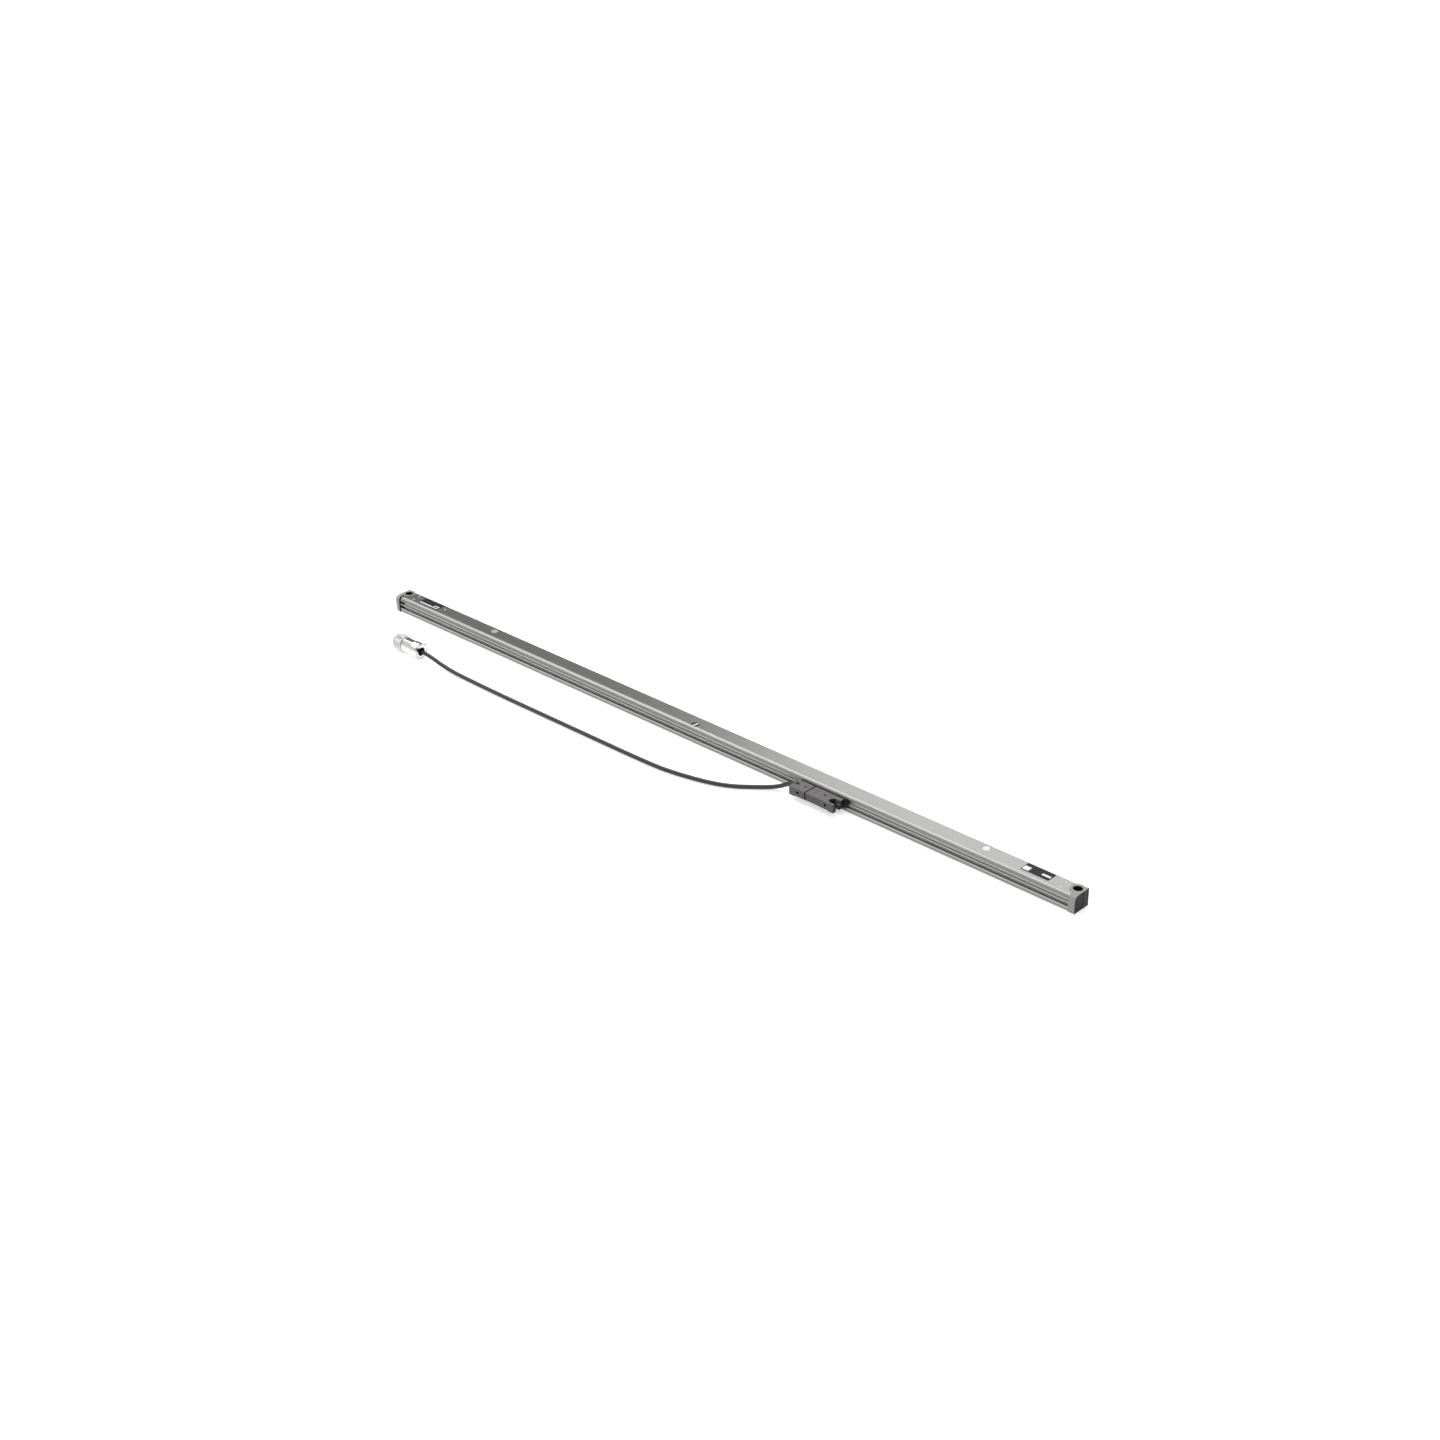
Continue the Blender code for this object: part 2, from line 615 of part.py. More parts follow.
def floor_outline():
    """Section of the floor, with the fine groove along its front edge."""
    corner = (BACK_CORNER, BACK_CORNER)
    points = [(BODY_FRONT, BODY_BOTTOM + BOTTOM_BREAK), (BODY_FRONT + BOTTOM_BREAK, BODY_BOTTOM)]
    points += arc((BODY_BACK - BACK_CORNER, BODY_BOTTOM + BACK_CORNER), corner, -90, 0, 3)
    points += [
        (BODY_BACK, CAVITY_LOW),
        (CHAMBER_BACK, CAVITY_LOW),
        (CHAMBER_BACK, CHAMBER_LOW),
        (CHAMBER_FRONT, CHAMBER_LOW),
        (CHAMBER_FRONT, CAVITY_LOW),
        (LIP_LINE_Y, CAVITY_LOW),
        (LIP_LINE_Y, LIP_LINE_LOW),
        (BODY_FRONT, LIP_LINE_LOW),
    ]
    return points


def wall_outline(front, back):
    """Section of an upright wall between the floor and the roof."""
    low = CAVITY_LOW + GAP
    high = CAVITY_HIGH - GAP
    return [(front, low), (back, low), (back, high), (front, high)]


def end_outline(inset):
    """Outline of the end caps and gaskets in Y and Z."""
    low = inset
    high = CAP_HEIGHT - inset
    back = CAP_DEPTH - inset
    shoulder = (SHOULDER_DEPTH + BODY_FRONT, SHOULDER_LOW)
    radii = (shoulder[0] - inset, high - shoulder[1])
    corner = (CAP_CORNER, CAP_CORNER)
    points = arc((low + CAP_CORNER, low + CAP_CORNER), corner, 180, 270, 3)
    points += arc((back - CAP_CORNER, low + CAP_CORNER), corner, 270, 360, 3)
    points += arc((back - CAP_CORNER, high - CAP_CORNER), corner, 0, 90, 3)
    points += arc(shoulder, radii, 90, 180, SHOULDER_STEPS)
    return points


def span(side, one, two):
    """Low and high X of a stretch given by its distances from mid length."""
    ends = (side * one, side * two)
    return min(ends), max(ends)


def countersunk_profile(head, height, shank, length, top, grow=0.0):
    """Turned profile of a countersunk screw, or of its clearance when grow is set."""
    return (
        (top - length - grow, 0),
        (top - length - grow, shank + grow),
        (top - height - grow, shank + grow),
        (top - grow, head + grow),
        (top + grow, head + grow),
        (top + grow, 0),
    )


def build_housing(frame):
    """The slotted aluminium housing, wall by wall, open inside from end to end."""
    outlines = {
        "roof": roof_outline(),
        "rail": rail_outline(),
        "sill": sill_outline(),
        "floor": floor_outline(),
        "web": wall_outline(CAVITY_BACK, CHAMBER_FRONT),
        "back": wall_outline(CHAMBER_BACK, BODY_BACK),
    }
    walls = {}
    for name, outline in outlines.items():
        wall = prism(outline, -BODY_END, BODY_END, "X")
        walls[name] = piece(f"housing_{name}", wall, "anodised_aluminium", frame)
    for name in ("roof", "floor", "web", "back"):
        bm = bmesh.new()
        for side in SIDES.values():
            eye = circle((side * EYE_X, EYE_Y), EYE_RADIUS + GAP)
            add_prism(bm, eye, -OVERSHOOT, CAP_HEIGHT + OVERSHOOT, "Z")
        cut(walls[name], f"eye_clearances_{name}", to_mesh(bm))
    add_roof_holes(walls["roof"])


def add_roof_holes(roof):
    """Countersinks for the small screws and seats for the plugs and the slotted screw."""
    for side_name, side in SIDES.items():
        for row, y in CAP_SCREW_ROWS.items():
            profile = countersunk_profile(
                CAP_SCREW_HEAD, CAP_SCREW_HEAD_HEIGHT, CAP_SCREW_SHANK, CAP_SCREW_LENGTH, BODY_TOP, GAP
            )
            place = (side * (BODY_END - CAP_SCREW_INSET), y, 0)
            cut(roof, f"cap_screw_hole_{side_name}_{row}", lathe(profile, "Z", SMALL_SEGMENTS), place)
    profile = countersunk_profile(
        CAP_SCREW_HEAD, CAP_SCREW_HEAD_HEIGHT, CAP_SCREW_SHANK, TOP_SCREW_LENGTH, BODY_TOP, GAP
    )
    place = (TOP_SCREW_INSET - HALF_LENGTH, TOP_SCREW_Y, 0)
    cut(roof, "top_screw_hole", lathe(profile, "Z", SMALL_SEGMENTS), place)
    for side_name, inset in PLUG_INSETS.items():
        x = SIDES[side_name] * (HALF_LENGTH - inset)
        seat = BODY_TOP - PLUG_HEIGHT - GAP
        profile = (
            (CHAMBER_HIGH - OVERSHOOT / 2, 0),
            (CHAMBER_HIGH - OVERSHOOT / 2, PLUG_STEM_RADIUS + GAP),
            (seat, PLUG_STEM_RADIUS + GAP),
            (seat, PLUG_RADIUS + GAP),
            (BODY_TOP + OVERSHOOT, PLUG_RADIUS + GAP),
            (BODY_TOP + OVERSHOOT, 0),
        )
        cut(roof, f"plug_seat_{side_name}", lathe(profile, "Z"), (x, PLUG_Y, 0))
    seat = BODY_TOP - MID_SCREW_SUNK - MID_SCREW_HEIGHT - GAP
    profile = (
        (CAVITY_HIGH - OVERSHOOT, 0),
        (CAVITY_HIGH - OVERSHOOT, MID_SCREW_SHANK + GAP),
        (seat, MID_SCREW_SHANK + GAP),
        (seat, MID_SCREW_RADIUS + GAP),
        (BODY_TOP + OVERSHOOT, MID_SCREW_RADIUS + GAP),
        (BODY_TOP + OVERSHOOT, 0),
    )
    cut(roof, "mid_screw_seat", lathe(profile, "Z"), (MID_SCREW_X, MID_SCREW_Y, 0))


def tongue_boxes(side):
    """Corners of the cap's two tongues, one in the cavity and one in the chamber."""
    x = span(side, TONGUE_END, PLATE_INNER + CAP_PLATE / 2)
    front = (
        (x[0], FRONT_WALL_INNER + GAP, CAVITY_LOW + GAP),
        (x[1], CAVITY_BACK - GAP, CAVITY_HIGH - GAP),
    )
    rear = (
        (x[0], CHAMBER_FRONT + GAP, CHAMBER_LOW + GAP),
        (x[1], CHAMBER_BACK - GAP, CHAMBER_HIGH - GAP),
    )
    return front, rear


def build_end_cap(frame, side_name, side):
    """Cast end cap: plate, mounting eye, tongues, end groove and screw holes."""
    skirt = GASKET_THICKNESS + GAP if side_name in SKIRT_SIDES else 0.0
    plate = prism(end_outline(0.0), *span(side, PLATE_INNER - skirt, HALF_LENGTH), "X")
    cap = piece(f"end_cap_{side_name}", plate, "cast_cap", frame)
    if skirt:
        x = span(side, PLATE_INNER - skirt - OVERSHOOT, PLATE_INNER)
        pocket = prism(end_outline(SKIRT_WALL), *x, "X")
        cut(cap, f"gasket_pocket_{side_name}", pocket)
    eye = prism(circle((side * EYE_X, EYE_Y), EYE_RADIUS), 0, CAP_HEIGHT, "Z")
    fuse(cap, f"eye_{side_name}", eye)
    for number, (low, high) in enumerate(tongue_boxes(side)):
        fuse(cap, f"tongue_{side_name}_{number}", box(low, high))
    bolt = (
        (-OVERSHOOT, 0),
        (-OVERSHOOT, BOLT_RADIUS),
        (BOLT_HEAD_FLOOR, BOLT_RADIUS),
        (BOLT_HEAD_FLOOR, BOLT_HEAD_RADIUS),
        (CAP_HEIGHT + OVERSHOOT, BOLT_HEAD_RADIUS),
        (CAP_HEIGHT + OVERSHOOT, 0),
    )
    cut(cap, f"bolt_hole_{side_name}", lathe(bolt, "Z"), (side * EYE_X, EYE_Y, 0))
    bm = bmesh.new()
    x = span(side, HALF_LENGTH - END_GROOVE_DEPTH, HALF_LENGTH + OVERSHOOT)
    half = END_GROOVE_WIDTH / 2
    add_box(bm, (x[0], EYE_Y - half, END_GROOVE_BOTTOM + GAP), (x[1], EYE_Y + half, END_GROOVE_TOP))
    pocket_front = EYE_Y + half - END_POCKET_WIDTH
    add_box(bm, (x[0], pocket_front, -OVERSHOOT), (x[1], EYE_Y + half, END_GROOVE_BOTTOM))
    cut(cap, f"end_groove_{side_name}", to_mesh(bm))
    if side_name in CAP_STEP_SIDES:
        x = span(side, HALF_LENGTH - CAP_STEP_DEPTH, HALF_LENGTH + OVERSHOOT)
        step = box((x[0], -OVERSHOOT, -OVERSHOOT), (x[1], CAP_DEPTH + OVERSHOOT, CAP_STEP_HEIGHT))
        cut(cap, f"cap_step_{side_name}", step)
    bm = bmesh.new()
    for y in CAP_SCREW_ROWS.values():
        centre = (side * (BODY_END - CAP_SCREW_INSET), y)
        hole = circle(centre, CAP_SCREW_SHANK + GAP, SMALL_SEGMENTS)
        add_prism(bm, hole, BODY_TOP - CAP_SCREW_LENGTH - GAP, CAP_HEIGHT, "Z")
    cut(cap, f"screw_threads_{side_name}", to_mesh(bm))


def build_end_gasket(frame, side_name, side):
    """Rubber gasket between the cap and the extrusion's end."""
    inset = SKIRT_WALL + GAP if side_name in SKIRT_SIDES else GASKET_INSET
    x = span(side, BODY_END + GAP, BODY_END + GAP + GASKET_THICKNESS)
    gasket = piece(f"end_gasket_{side_name}", prism(end_outline(inset), *x, "X"), "black_rubber", frame)
    clear = EYE_RADIUS + GAP
    tool_z = (-OVERSHOOT, CAP_HEIGHT + OVERSHOOT)
    cut(gasket, f"gasket_eye_{side_name}", prism(circle((side * EYE_X, EYE_Y), clear), *tool_z, "Z"))
    low, high = tongue_boxes(side)[0]
    opening = box(
        (low[0], low[1] - GAP, low[2] - GAP),
        (high[0], CAP_DEPTH + OVERSHOOT, high[2] + GAP),
    )
    cut(gasket, f"gasket_opening_{side_name}", opening)


def build_end_buffer(frame, side_name, side):
    """Rubber buffer on the cap's tongue, where the carriage stops."""
    x = span(side, TONGUE_END - GAP - BUFFER_LENGTH, TONGUE_END - GAP)
    low, high = tongue_boxes(side)[0]
    outline = rounded_outline(
        (low[1] + GAP, low[2] + BUFFER_MARGIN),
        (STRIP_FRONT - BUFFER_MARGIN, high[2] - BUFFER_MARGIN),
        CAP_CORNER,
    )
    piece(f"end_buffer_{side_name}", prism(outline, *x, "X"), "black_rubber", frame)


def recessed_screw(name, profile, top, slot, parent, location):
    """A small turned screw with a square drive recess."""
    screw = piece(name, lathe(profile, "Z", SMALL_SEGMENTS), slot, parent, location, smooth=True)
    low = (-RECESS_FLAT, -RECESS_FLAT, top - RECESS_FLAT)
    high = (RECESS_FLAT, RECESS_FLAT, top + OVERSHOOT)
    cut(screw, f"{name}_recess", box(low, high), location)
    return screw


def build_top_fasteners(frame):
    """Countersunk screws, plugs and the slotted screw in the top face."""
    for side_name, side in SIDES.items():
        for row, y in CAP_SCREW_ROWS.items():
            profile = countersunk_profile(
                CAP_SCREW_HEAD, CAP_SCREW_HEAD_HEIGHT, CAP_SCREW_SHANK, CAP_SCREW_LENGTH, BODY_TOP
            )
            place = (side * (BODY_END - CAP_SCREW_INSET), y, 0)
            recessed_screw(f"cap_screw_{side_name}_{row}", profile, BODY_TOP, "bright_screw", frame, place)
    profile = countersunk_profile(
        CAP_SCREW_HEAD, CAP_SCREW_HEAD_HEIGHT, CAP_SCREW_SHANK, TOP_SCREW_LENGTH, BODY_TOP
    )
    place = (TOP_SCREW_INSET - HALF_LENGTH, TOP_SCREW_Y, 0)
    recessed_screw("top_screw", profile, BODY_TOP, "bright_screw", frame, place)
    slots = {"left": "grey_plug", "right": "white_plug"}
    for side_name, inset in PLUG_INSETS.items():
        x = SIDES[side_name] * (HALF_LENGTH - inset)
        under = BODY_TOP - PLUG_HEIGHT
        profile = (
            (under - PLUG_STEM, 0),
            (under - PLUG_STEM, PLUG_STEM_RADIUS),
            (under, PLUG_STEM_RADIUS),
            (under, PLUG_RADIUS),
            (BODY_TOP, PLUG_RADIUS),
            (BODY_TOP, 0),
        )
        piece(f"hole_plug_{side_name}", lathe(profile, "Z"), slots[side_name], frame, (x, PLUG_Y, 0), True)
    top = BODY_TOP - MID_SCREW_SUNK
    under = top - MID_SCREW_HEIGHT
    profile = (
        (under - MID_SCREW_SHANK_LENGTH, 0),
        (under - MID_SCREW_SHANK_LENGTH, MID_SCREW_SHANK),
        (under, MID_SCREW_SHANK),
        (under, MID_SCREW_RADIUS),
        (top, MID_SCREW_RADIUS),
        (top, 0),
    )
    place = (MID_SCREW_X, MID_SCREW_Y, 0)
    screw = piece("mid_screw", lathe(profile, "Z"), "dark_screw", frame, place, True)
    half = (MID_SLOT_WIDTH / 2, MID_SCREW_RADIUS + OVERSHOOT)
    low = (-half[0], -half[1], top - MID_SLOT_DEPTH)
    high = (half[0], half[1], top + OVERSHOOT)
    slot = box(low, high)
    slot.transform(Matrix.Rotation(math.radians(MID_SLOT_TURN), 4, "Z"))
    cut(screw, "mid_screw_slot", slot, place)


def build_labels(frame):
    """Bare black label films on the top face."""
    for side_name, inset in LABEL_INSETS.items():
        x = SIDES[side_name] * (HALF_LENGTH - inset)
        half = (LABEL_LENGTH / 2, LABEL_WIDTH / 2)
        outline = rounded_outline((-half[0], -half[1]), half, LABEL_CORNER)
        low = BODY_TOP + GAP
        film = prism(outline, low, low + LABEL_THICKNESS, "Z")
        piece(f"label_{side_name}", film, "label_film", frame, (x, LABEL_Y, 0))


def build_scale_bar(frame):
    """Steel carrier bar and the magnetised strip bonded to it."""
    carrier = box(
        (-STRIP_END, CARRIER_FRONT, CAVITY_LOW + GAP),
        (STRIP_END, CARRIER_BACK, CAVITY_HIGH - GAP),
    )
    piece("carrier_bar", carrier, "steel_bar", frame)
    strip = box((-STRIP_END, STRIP_FRONT, STRIP_BOTTOM), (STRIP_END, STRIP_BACK, STRIP_TOP))
    piece("magnetic_strip", strip, "magnet_strip", frame)


def build_lip_seals(frame):
    """Rubber lips that close the slot above and below the head's blade."""
    front = LIP_GROOVE_FRONT + GAP
    back = front + LIP_GROOVE_WIDTH - 2 * GAP
    for name, edge, sign in (("upper", SLOT_TOP, 1), ("lower", SLOT_BOTTOM, -1)):
        root = edge + sign * (LIP_GROOVE_HEIGHT - GAP)
        bend = edge - sign * LIP_BASE
        tip = SLOT_MIDDLE + sign * (BLADE_THICKNESS / 2 + GAP)
        outline = (
            (front, root),
            (front, bend),
            (front - LIP_LEAN, tip),
            (front, tip),
            (back, bend),
            (back, root),
        )
        lip = prism(outline, -BODY_END + GAP, BODY_END - GAP, "X")
        piece(f"lip_seal_{name}", lip, "black_rubber", frame)


def build_head_blocks(slider):
    """The reading head: cable block, main block and the gasket in their seam."""
    seam_left = SEAM_X - SEAM_GASKET / 2
    seam_right = SEAM_X + SEAM_GASKET / 2
    spans = {
        "head_cable_block": (-HEAD_HALF, seam_left - GAP),
        "head_main_block": (seam_right + GAP, HEAD_HALF),
    }
    feet = {
        "head_cable_block": (-HEAD_HALF + HEAD_EDGE, -HEAD_HALF + FOOT_LENGTH),
        "head_main_block": (HEAD_HALF - FOOT_LENGTH, HEAD_HALF - HEAD_EDGE),
    }
    blocks = {}
    for name, (low_x, high_x) in spans.items():
        base = box((low_x, HEAD_FRONT, HEAD_BOTTOM), (high_x, HEAD_BACK, HEAD_TOP))
        block = piece(name, base, "grey_cast_head", slider)
        bevel(block, HEAD_EDGE)
        foot = box(
            (feet[name][0], HEAD_FRONT + HEAD_EDGE, FOOT_BOTTOM),
            (feet[name][1], HEAD_BACK - HEAD_EDGE, HEAD_BOTTOM + HEAD_EDGE),
        )
        fuse(block, f"{name}_foot", foot)
        blocks[name] = block
    add_front_and_top_holes(blocks)
    add_screw_slot(blocks["head_main_block"])
    add_main_block_details(blocks["head_main_block"], seam_right + GAP)
    add_cable_entry(blocks["head_cable_block"])
    low = (seam_left, HEAD_FRONT + SEAM_SUNK, HEAD_BOTTOM + SEAM_SUNK)
    high = (seam_right, HEAD_BACK - SEAM_SUNK, HEAD_TOP - SEAM_SUNK)
    piece("head_seam_gasket", box(low, high), "black_rubber", slider)


def add_front_and_top_holes(blocks):
    """Tapped holes in the front face and screw holes in the top face."""
    for (side_name, side), (name, block) in zip(SIDES.items(), blocks.items()):
        x = side * (HEAD_HALF - FRONT_HOLE_INSET)
        hole = pin(FRONT_HOLE_RADIUS, HEAD_FRONT - OVERSHOOT, HEAD_FRONT + FRONT_HOLE_DEPTH, "Y")
        cut(block, f"{name}_front_hole", hole, (x, 0, FRONT_HOLE_Z))
        floor = HEAD_TOP - HEAD_SCREW_SUNK - HEAD_SCREW_LENGTH - GAP
        hole = pin(HEAD_SCREW_RADIUS + GAP, floor, HEAD_TOP + OVERSHOOT, "Z")
        place = (side * (HEAD_HALF - HEAD_SCREW_INSETS[side_name]), HEAD_SCREW_Y, 0)
        cut(block, f"{name}_top_hole", hole, place)


def add_screw_slot(block):
    """Counterbored slot, open at the head's end, for the fixing screw."""
    centre = (SCREW_SLOT_X, SCREW_SLOT_Y)
    reach = HEAD_HALF + OVERSHOOT
    outline = open_slot(centre, SCREW_SLOT_HEAD_RADIUS, reach)
    head = prism(outline, SCREW_SLOT_FLOOR, HEAD_TOP + OVERSHOOT, "Z")
    cut(block, "screw_slot_head", head)
    shank = prism(open_slot(centre, SCREW_SLOT_RADIUS, reach), 0, HEAD_TOP, "Z")
    cut(block, "screw_slot_shank", shank)


def add_main_block_details(block, left_x):
    """Front panel recess, index line and the bay for the signal board."""
    panel = box(
        (left_x + HEAD_EDGE, HEAD_FRONT - OVERSHOOT, HEAD_BOTTOM - OVERSHOOT),
        (left_x + FRONT_PANEL_LENGTH, HEAD_FRONT + FRONT_PANEL_DEPTH, HEAD_TOP - FRONT_PANEL_TOP),
    )
    cut(block, "front_panel", panel)
    bm = bmesh.new()
    half = INDEX_LINE_WIDTH / 2
    for low_y, high_y in (INDEX_LINE, INDEX_DASH):
        add_box(bm, (-half, low_y, HEAD_TOP - INDEX_LINE_DEPTH), (half, high_y, HEAD_TOP + OVERSHOOT))
    cut(block, "index_line", to_mesh(bm))
    half = BOARD_BAY_LENGTH / 2
    bay = box(
        (BOARD_BAY_X - half, HEAD_BACK - BOARD_BAY_DEPTH, HEAD_BOTTOM + BOARD_BAY_WALL),
        (BOARD_BAY_X + half, HEAD_BACK + OVERSHOOT, HEAD_TOP - BOARD_BAY_WALL),
    )
    cut(block, "board_bay", bay)


def add_cable_entry(block):
    """Open slot in which the cable enters and the blind bore for its gland."""
    centre = (-HEAD_HALF + ENTRY_SLOT_LENGTH, CABLE_Y)
    outline = open_slot(centre, ENTRY_SLOT_RADIUS, -HEAD_HALF - OVERSHOOT)
    slot = prism(outline, CABLE_Z - ENTRY_SLOT_RADIUS, HEAD_TOP + OVERSHOOT, "Z")
    cut(block, "entry_slot", slot)
    start = gland_start()
    bore = pin(GLAND_RADIUS + GAP, centre[0], start + GLAND_LENGTH + GAP, "X", SMALL_SEGMENTS)
    cut(block, "gland_bore", bore, (0, CABLE_Y, CABLE_Z))


def gland_start():
    """X of the gland's outer face from the head's middle."""
    return CABLE_ROUTE_MM[0][0] * MM + GAP - HEAD_CENTRE_X


def build_head_fittings(slider):
    """Screws in the head's top, signal board and cable gland."""
    top = HEAD_TOP - HEAD_SCREW_SUNK
    for side_name, inset in HEAD_SCREW_INSETS.items():
        x = SIDES[side_name] * (HEAD_HALF - inset)
        profile = (
            (top - HEAD_SCREW_LENGTH, 0),
            (top - HEAD_SCREW_LENGTH, HEAD_SCREW_RADIUS),
            (top, HEAD_SCREW_RADIUS),
            (top, 0),
        )
        place = (x, HEAD_SCREW_Y, 0)
        recessed_screw(f"head_screw_{side_name}", profile, top, "dark_screw", slider, place)
    half = BOARD_BAY_LENGTH / 2 - GAP
    front = HEAD_BACK - BOARD_BAY_DEPTH + GAP
    board = box(
        (BOARD_BAY_X - half, front, HEAD_BOTTOM + BOARD_BAY_WALL + GAP),
        (BOARD_BAY_X + half, front + BOARD_THICKNESS, HEAD_TOP - BOARD_BAY_WALL - GAP),
    )
    piece("signal_board", board, "circuit_board", slider)
    start = gland_start()
    profile = (
        (start, 0),
        (start, GLAND_RADIUS),
        (start + GLAND_LENGTH - GLAND_TIP, GLAND_RADIUS),
        (start + GLAND_LENGTH, GLAND_RADIUS - GLAND_TIP / 2),
        (start + GLAND_LENGTH, 0),
    )
    gland = lathe(profile, "X", SMALL_SEGMENTS)
    piece("cable_gland", gland, "black_rubber", slider, (0, CABLE_Y, CABLE_Z), True)


def build_neck(slider):
    """Black neck plate behind the head, with the blade that reaches through the slot."""
    high = (HEAD_HALF + NECK_OVERHANG, NECK_TOP)
    outline = rounded_outline((-HEAD_HALF, NECK_BOTTOM), high, NECK_CORNER, 4)
    neck = piece("neck_plate", prism(outline, -NECK_THICKNESS, 0, "Y"), "black_neck", slider)
    blade = box(
        (-BLADE_LENGTH / 2, -NECK_THICKNESS / 2, SLOT_MIDDLE - BLADE_THICKNESS / 2),
        (BLADE_LENGTH / 2, BLADE_REACH, SLOT_MIDDLE + BLADE_THICKNESS / 2),
    )
    fuse(neck, "neck_blade", blade)


def face_roller_y():
    """Y of the axes of the rollers that run on the carrier bar's face."""
    return CARRIER_FRONT - GAP - ROLLER_RADIUS


def edge_roller_z():
    """Z of the axes of the rollers that run on the cavity's floor."""
    return CAVITY_LOW + GAP + ROLLER_RADIUS


def edge_roller_y():
    """Y of the middle of the edge rollers."""
    return (CARRIAGE_FRONT + CARRIAGE_BACK) / 2


def build_carriage(slider):
    """Inner carriage with bays for the blade, sensor board, spring and rollers."""
    low = (-HEAD_HALF, CARRIAGE_FRONT, CARRIAGE_LOW)
    high = (HEAD_HALF, CARRIAGE_BACK, CARRIAGE_HIGH)
    carriage = piece("carriage", box(low, high), "carriage_plastic", slider)
    bevel(carriage, CARRIAGE_EDGE, 1)
    blade_half = BLADE_LENGTH / 2 + GAP
    thick_half = BLADE_THICKNESS / 2 + GAP
    bm = bmesh.new()
    add_box(
        bm,
        (-blade_half, CARRIAGE_FRONT - OVERSHOOT, SLOT_MIDDLE - thick_half),
        (blade_half, BLADE_REACH + GAP, SLOT_MIDDLE + thick_half),
    )
    board_y = sensor_board_front() - GAP
    add_box(
        bm,
        (-SENSOR_BAY_LENGTH / 2, board_y, sensor_centre_z() - SENSOR_BAY_HEIGHT / 2),
        (SENSOR_BAY_LENGTH / 2, CARRIAGE_BACK + OVERSHOOT, sensor_centre_z() + SENSOR_BAY_HEIGHT / 2),
    )
    add_box(
        bm,
        (-SPRING_BAY_LENGTH / 2, CARRIAGE_FRONT - OVERSHOOT, CARRIAGE_HIGH - SPRING_BAY_DEPTH),
        (SPRING_BAY_LENGTH / 2, CARRIAGE_BACK + OVERSHOOT, CARRIAGE_HIGH + OVERSHOOT),
    )
    cut(carriage, "carriage_bays", to_mesh(bm))
    for side_name, side in SIDES.items():
        place = (side * FACE_ROLLER_X, face_roller_y(), FACE_ROLLER_Z)
        cut(carriage, f"face_roller_bay_{side_name}", roller_bay(face_axle_span(GAP), "Z"), place)
        place = (side * EDGE_ROLLER_X, edge_roller_y(), edge_roller_z())
        cut(carriage, f"edge_roller_bay_{side_name}", roller_bay(edge_axle_span(GAP), "Y"), place)


def roller_bay(axle_ends, axis):
    """Shape of a roller's bay together with the hole for its axle."""
    low, high = axle_ends
    half = ROLLER_WIDTH / 2 + GAP
    pocket = ROLLER_RADIUS + RUN_GAP
    hole = AXLE_RADIUS + GAP
    profile = (
        (low, 0), (low, hole), (-half, hole), (-half, pocket),
        (half, pocket), (half, hole), (high, hole), (high, 0),
    )
    return lathe(profile, axis, SMALL_SEGMENTS)


def sensor_centre_z():
    """Height of the sensor, at the middle of the strip."""
    return (STRIP_BOTTOM + STRIP_TOP) / 2


def sensor_board_front():
    """Y of the sensor board's front face."""
    return CARRIAGE_BACK - SENSOR_BOARD_THICKNESS - SENSOR_BOARD_SUNK


def face_axle_span(grow=0.0):
    """Ends of the face rollers' axles, from the roller's middle."""
    high = CARRIAGE_HIGH - FACE_ROLLER_Z - GAP + 3 * grow
    return -ROLLER_WIDTH - GAP - grow, high


def edge_axle_span(grow=0.0):
    """Ends of the edge rollers' axles, from the roller's middle."""
    half = CARRIAGE_DEPTH / 2 - GAP + 3 * grow
    return -half, half


def build_sensor(slider):
    """Sensor board and the sensor chip that reads the strip."""
    front = sensor_board_front()
    half_x = SENSOR_BAY_LENGTH / 2 - GAP
    half_z = SENSOR_BAY_HEIGHT / 2 - GAP
    middle = sensor_centre_z()
    board = box(
        (-half_x, front, middle - half_z),
        (half_x, front + SENSOR_BOARD_THICKNESS, middle + half_z),
    )
    piece("sensor_board", board, "circuit_board", slider)
    chip = box(
        (-SENSOR_CHIP[0] / 2, front + SENSOR_BOARD_THICKNESS + GAP, middle - SENSOR_CHIP[1] / 2),
        (SENSOR_CHIP[0] / 2, STRIP_FRONT - READING_GAP, middle + SENSOR_CHIP[1] / 2),
    )
    piece("sensor_chip", chip, "chip_black", slider)


def build_preload_spring(slider):
    """Arched leaf spring between the carriage and the cavity's roof."""
    low = CARRIAGE_HIGH - SPRING_BAY_DEPTH + GAP
    rise = CAVITY_HIGH - GAP - SPRING_THICKNESS - low
    half = SPRING_LENGTH / 2
    places = np.linspace(-half, half, SPRING_STEPS + 1)
    under = [(x, low + rise * math.cos(math.pi * x / SPRING_LENGTH) ** 2) for x in places]
    over = [(x, z + SPRING_THICKNESS) for x, z in reversed(under)]
    middle = (CARRIAGE_FRONT + CARRIAGE_BACK) / 2
    leaf = prism(under + over, middle - SPRING_WIDTH / 2, middle + SPRING_WIDTH / 2, "Y")
    piece("preload_spring", leaf, "spring_steel", slider, smooth=True)


